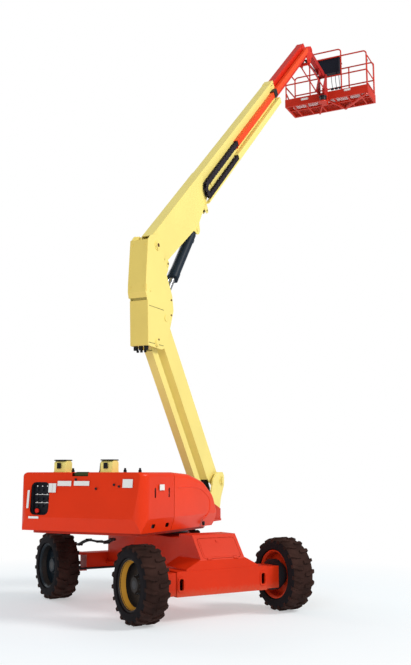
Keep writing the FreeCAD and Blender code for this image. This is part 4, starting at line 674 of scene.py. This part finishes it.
# ---------------------------------------------------------------- main boom
# The base section is two folded channels welded along a seam, the fly slides in it; the power
# track carries the hoses beside them, each link moulded and snapped to the next.
track_black = surface("track_black", (0.022, 0.017, 0.026), rough=0.55, grain=60, vary=0.3, coat=0)
fly_red = surface("fly_red", (0.62, 0.016, 0.004), rough=0.36, vary=0.08)
push_orange = surface("push_orange", (0.80, 0.060, 0.006), rough=0.36, vary=0.08)
jib_red = surface("jib_red", (0.42, 0.020, 0.018), rough=0.42, vary=0.12)
dress(track_black, "power_track")
dress(satin_black, "tube_clamp", "swing_drive")
dress(fly_red, "fly_boom", "nose_bracket")
dress(push_orange, "push_tube")
boom_turn = arm_axes(x=-0.211, z=4.962, degrees=42.46)
# A thin strip along each seam in the darker cream: painted shade along the seam.
form = bmesh.new()
for side in (1, -1):
    slab(form, (2.25, 6.44), sorted((side * 0.0815, side * 0.0845)), (-0.012, -0.006), 0.001)
piece("boom_seam", form, boom_cream_painted_shade, "base_boom", boom_turn)
form = bmesh.new()
for side in (1, -1):
    for x, z in ((6.5, 0.09), (6.6, 0.09), (6.5, -0.19), (6.6, -0.19)):
        screw_head(form, (x, side * 0.088, z), (x, side * 0.099, z), 0.014, 0.009, 6)
for x in (2.06, 2.08, 2.10):
    lathe(form, (x, -0.040, -0.478), (x, 0.040, -0.478),
          ((0, 0.006), (0.1, 0.012), (0.9, 0.012), (1, 0.006)), 8)
piece("boom_bolts", form, greasy_steel, "base_boom", boom_turn)

# ---------------------------------------------------------------- jib
# A small welded box arm between a level bracket and a level head, held by side straps; its hoses
# are strapped in a bundle along the top of the arm, and each pin's end has a keeper screw.
dress(jib_red, "jib_boom", "jib_link", "jib_head")
JIB_X, JIB_Z, JIB_LENGTH = 7.08, 11.36, 1.11
jib_turn = arm_axes(x=JIB_X, z=JIB_Z, degrees=-8)
form = bmesh.new()
for y, z in ((-0.024, 0.068), (0.0, 0.070), (0.024, 0.068)):
    hose(form, [(x, y, z) for x in (0.16, 0.4, 0.7, 0.96)], 0.011, cuts=4)
piece("jib_hoses", form, hose_black, "jib_boom", jib_turn)
form = bmesh.new()
for x in (0.2, 0.45, 0.7, 0.92):
    slab(form, (x - 0.011, x + 0.011), (-0.043, 0.043), (0.052, 0.084), 0.004)
piece("jib_hose_straps", form, case_black, "jib_boom", jib_turn)


def keepers(form, x, z, half):
    """The screws that keep a pin, one at each end of it."""
    for side in (1, -1):
        screw_head(form, (x, side * (half - 0.004), z), (x, side * (half + 0.004), z), 0.012,
                   0.007, 6)


form = bmesh.new()
nose = boom_turn @ Vector((9.35, 0, -0.1))
for x, z, half in ((nose.x, nose.z, 0.0985), (JIB_X, JIB_Z, 0.0965), (6.93, 11.06, 0.0965)):
    keepers(form, x, z, half)
piece("nose_pin_screws", form, pin_brown, "nose_bracket")
form = bmesh.new()
tip = jib_turn @ Vector((JIB_LENGTH, 0, 0))
keepers(form, tip.x, tip.z, 0.0965)
piece("head_pin_screws", form, pin_brown, "jib_head")

SWING_X, FLANGE_RADIUS, FLANGE_BOLTS, FLANGE_TOP = 8.15, 0.078, 8, 10.688
bolt = bmesh.new()
lathe(bolt, (0, 0, 0), (0, 0, 0.011), ((0, 0.009), (0.7, 0.009), (1, 0.006)), 6)
angles = [2 * math.pi * (i + 0.5) / FLANGE_BOLTS for i in range(FLANGE_BOLTS)]
spots = [(SWING_X + FLANGE_RADIUS * math.cos(a), FLANGE_RADIUS * math.sin(a), FLANGE_TOP)
         for a in angles]
form = bmesh.new()
form.from_mesh(grow(studs, spots, Piece=loose(bolt)))
piece("swing_drive_bolts", form, greasy_steel, "jib_head")

# ---------------------------------------------------------------- platform
# Bent tube rails and a slatted frame, painted after welding; woven mesh lies over the slats, blank
# plates are screwed to the near rail, and the console's panel has its buttons set in.
platform_red = surface("platform_red", (0.56, 0.026, 0.010), rough=0.42, vary=0.12, grain=50)
console_black = surface("console_black", (0.010, 0.011, 0.020), rough=0.45, grain=80, coat=0)
dress(platform_red, "platform_floor", "platform_rails", "platform_gate", "platform_mount")
dress(console_black, "platform_console")
mesh_red = surface("mesh_red", (0.40, 0.035, 0.015), rough=0.5, vary=0.25)


def wires(form, end, taper, spots):
    """Wires that reach as far on both sides of their spots, drawn in at their ends."""
    wire = bmesh.new()
    lathe(wire, -Vector(end), end, ((0, 0.0015), (taper, 0.0022), (1 - taper, 0.0022), (1, 0.0015)),
          5)
    form.from_mesh(grow(studs, spots, Piece=loose(wire)))


form = bmesh.new()
LONG_PITCH, CROSS_PITCH = 0.0185, 0.024  # from wire to wire
wires(form, (0, 1.035, 0), 0.002, [(8.385 + LONG_PITCH * i, 0, 10.7445) for i in range(38)])
wires(form, (0.345, 0, 0), 0.005, [(8.73, -1.02 + CROSS_PITCH * i, 10.7480) for i in range(86)])
piece("platform_mesh", form, mesh_red, "platform")
PLATES = ((0.446, 0.633, 10.820), (-0.624, -0.465, 10.845))  # from, to and height of each
form = bmesh.new()
for low, high, z in PLATES:
    slab(form, (8.3655, 8.3690), (low, high), (z - 0.026, z + 0.026), 0.001)
piece("platform_plates", form, blank_white, "platform")
screw = bmesh.new()
screw_head(screw, (0.0005, 0, 0), (-0.004, 0, 0), 0.006, 0.004, 6)
spots = [(8.366, y, z + dz) for low, high, z in PLATES
         for y in (low + 0.014, high - 0.014) for dz in (-0.016, 0.016)]
form = bmesh.new()
form.from_mesh(grow(studs, spots, Piece=loose(screw)))
piece("platform_plate_screws", form, greasy_steel, "platform")

PANEL_SLOPE = 28.8
panel = (Matrix.Translation((8.562, -0.05, 11.7185))
         @ Matrix.Rotation(math.radians(PANEL_SLOPE), 4, "Y"))
form = bmesh.new()
slab(form, (-0.085, 0.085), (-0.270, 0.270), (0.0, 0.004), 0.002)
panel_grey = surface("panel_grey", (0.13, 0.14, 0.16), rough=0.5, grain=90, vary=0.15, coat=0)
piece("console_panel", form, panel_grey, "platform", panel)
form = bmesh.new()
for y in (-0.22, -0.15, -0.08, -0.01, 0.06, 0.2):
    for x in (-0.055, 0.045):
        lathe(form, (x, y, 0.003), (x, y, 0.022),
              ((0, 0.010), (0.4, 0.010), (0.5, 0.005), (1, 0.006)), 10)
piece("console_switches", form, blank_white, "platform", panel)
form = bmesh.new()
lathe(form, (0, 0.235, 0.003), (0, 0.235, 0.026),
      ((0, 0.014), (0.4, 0.014), (0.45, 0.022), (0.85, 0.022), (1, 0.016)))
piece("console_stop", form, button_red, "platform", panel)
form = bmesh.new()
for y in (-0.16, -0.26, -0.35):
    slab(form, (8.410, 8.450), (y - 0.035, y + 0.035), (10.935, 10.985), 0.006)
    hose(form, ((8.43, y, 10.98), (8.43, y, 11.02), (8.425, y + 0.01, 11.12),
                (8.425, y + 0.02, 11.26), (8.435, y + 0.02, 11.32)), 0.007)
piece("console_junctions", form, case_black, "platform")
form = bmesh.new()
slab(form, (8.425, 8.455), (-1.046, -1.036), (11.50, 11.56), 0.003)
knob(form, (8.44, -1.038, 11.53), (8.44, -1.050, 11.53), 0.010, 12)
piece("gate_latch", form, greasy_steel, "platform_gate")
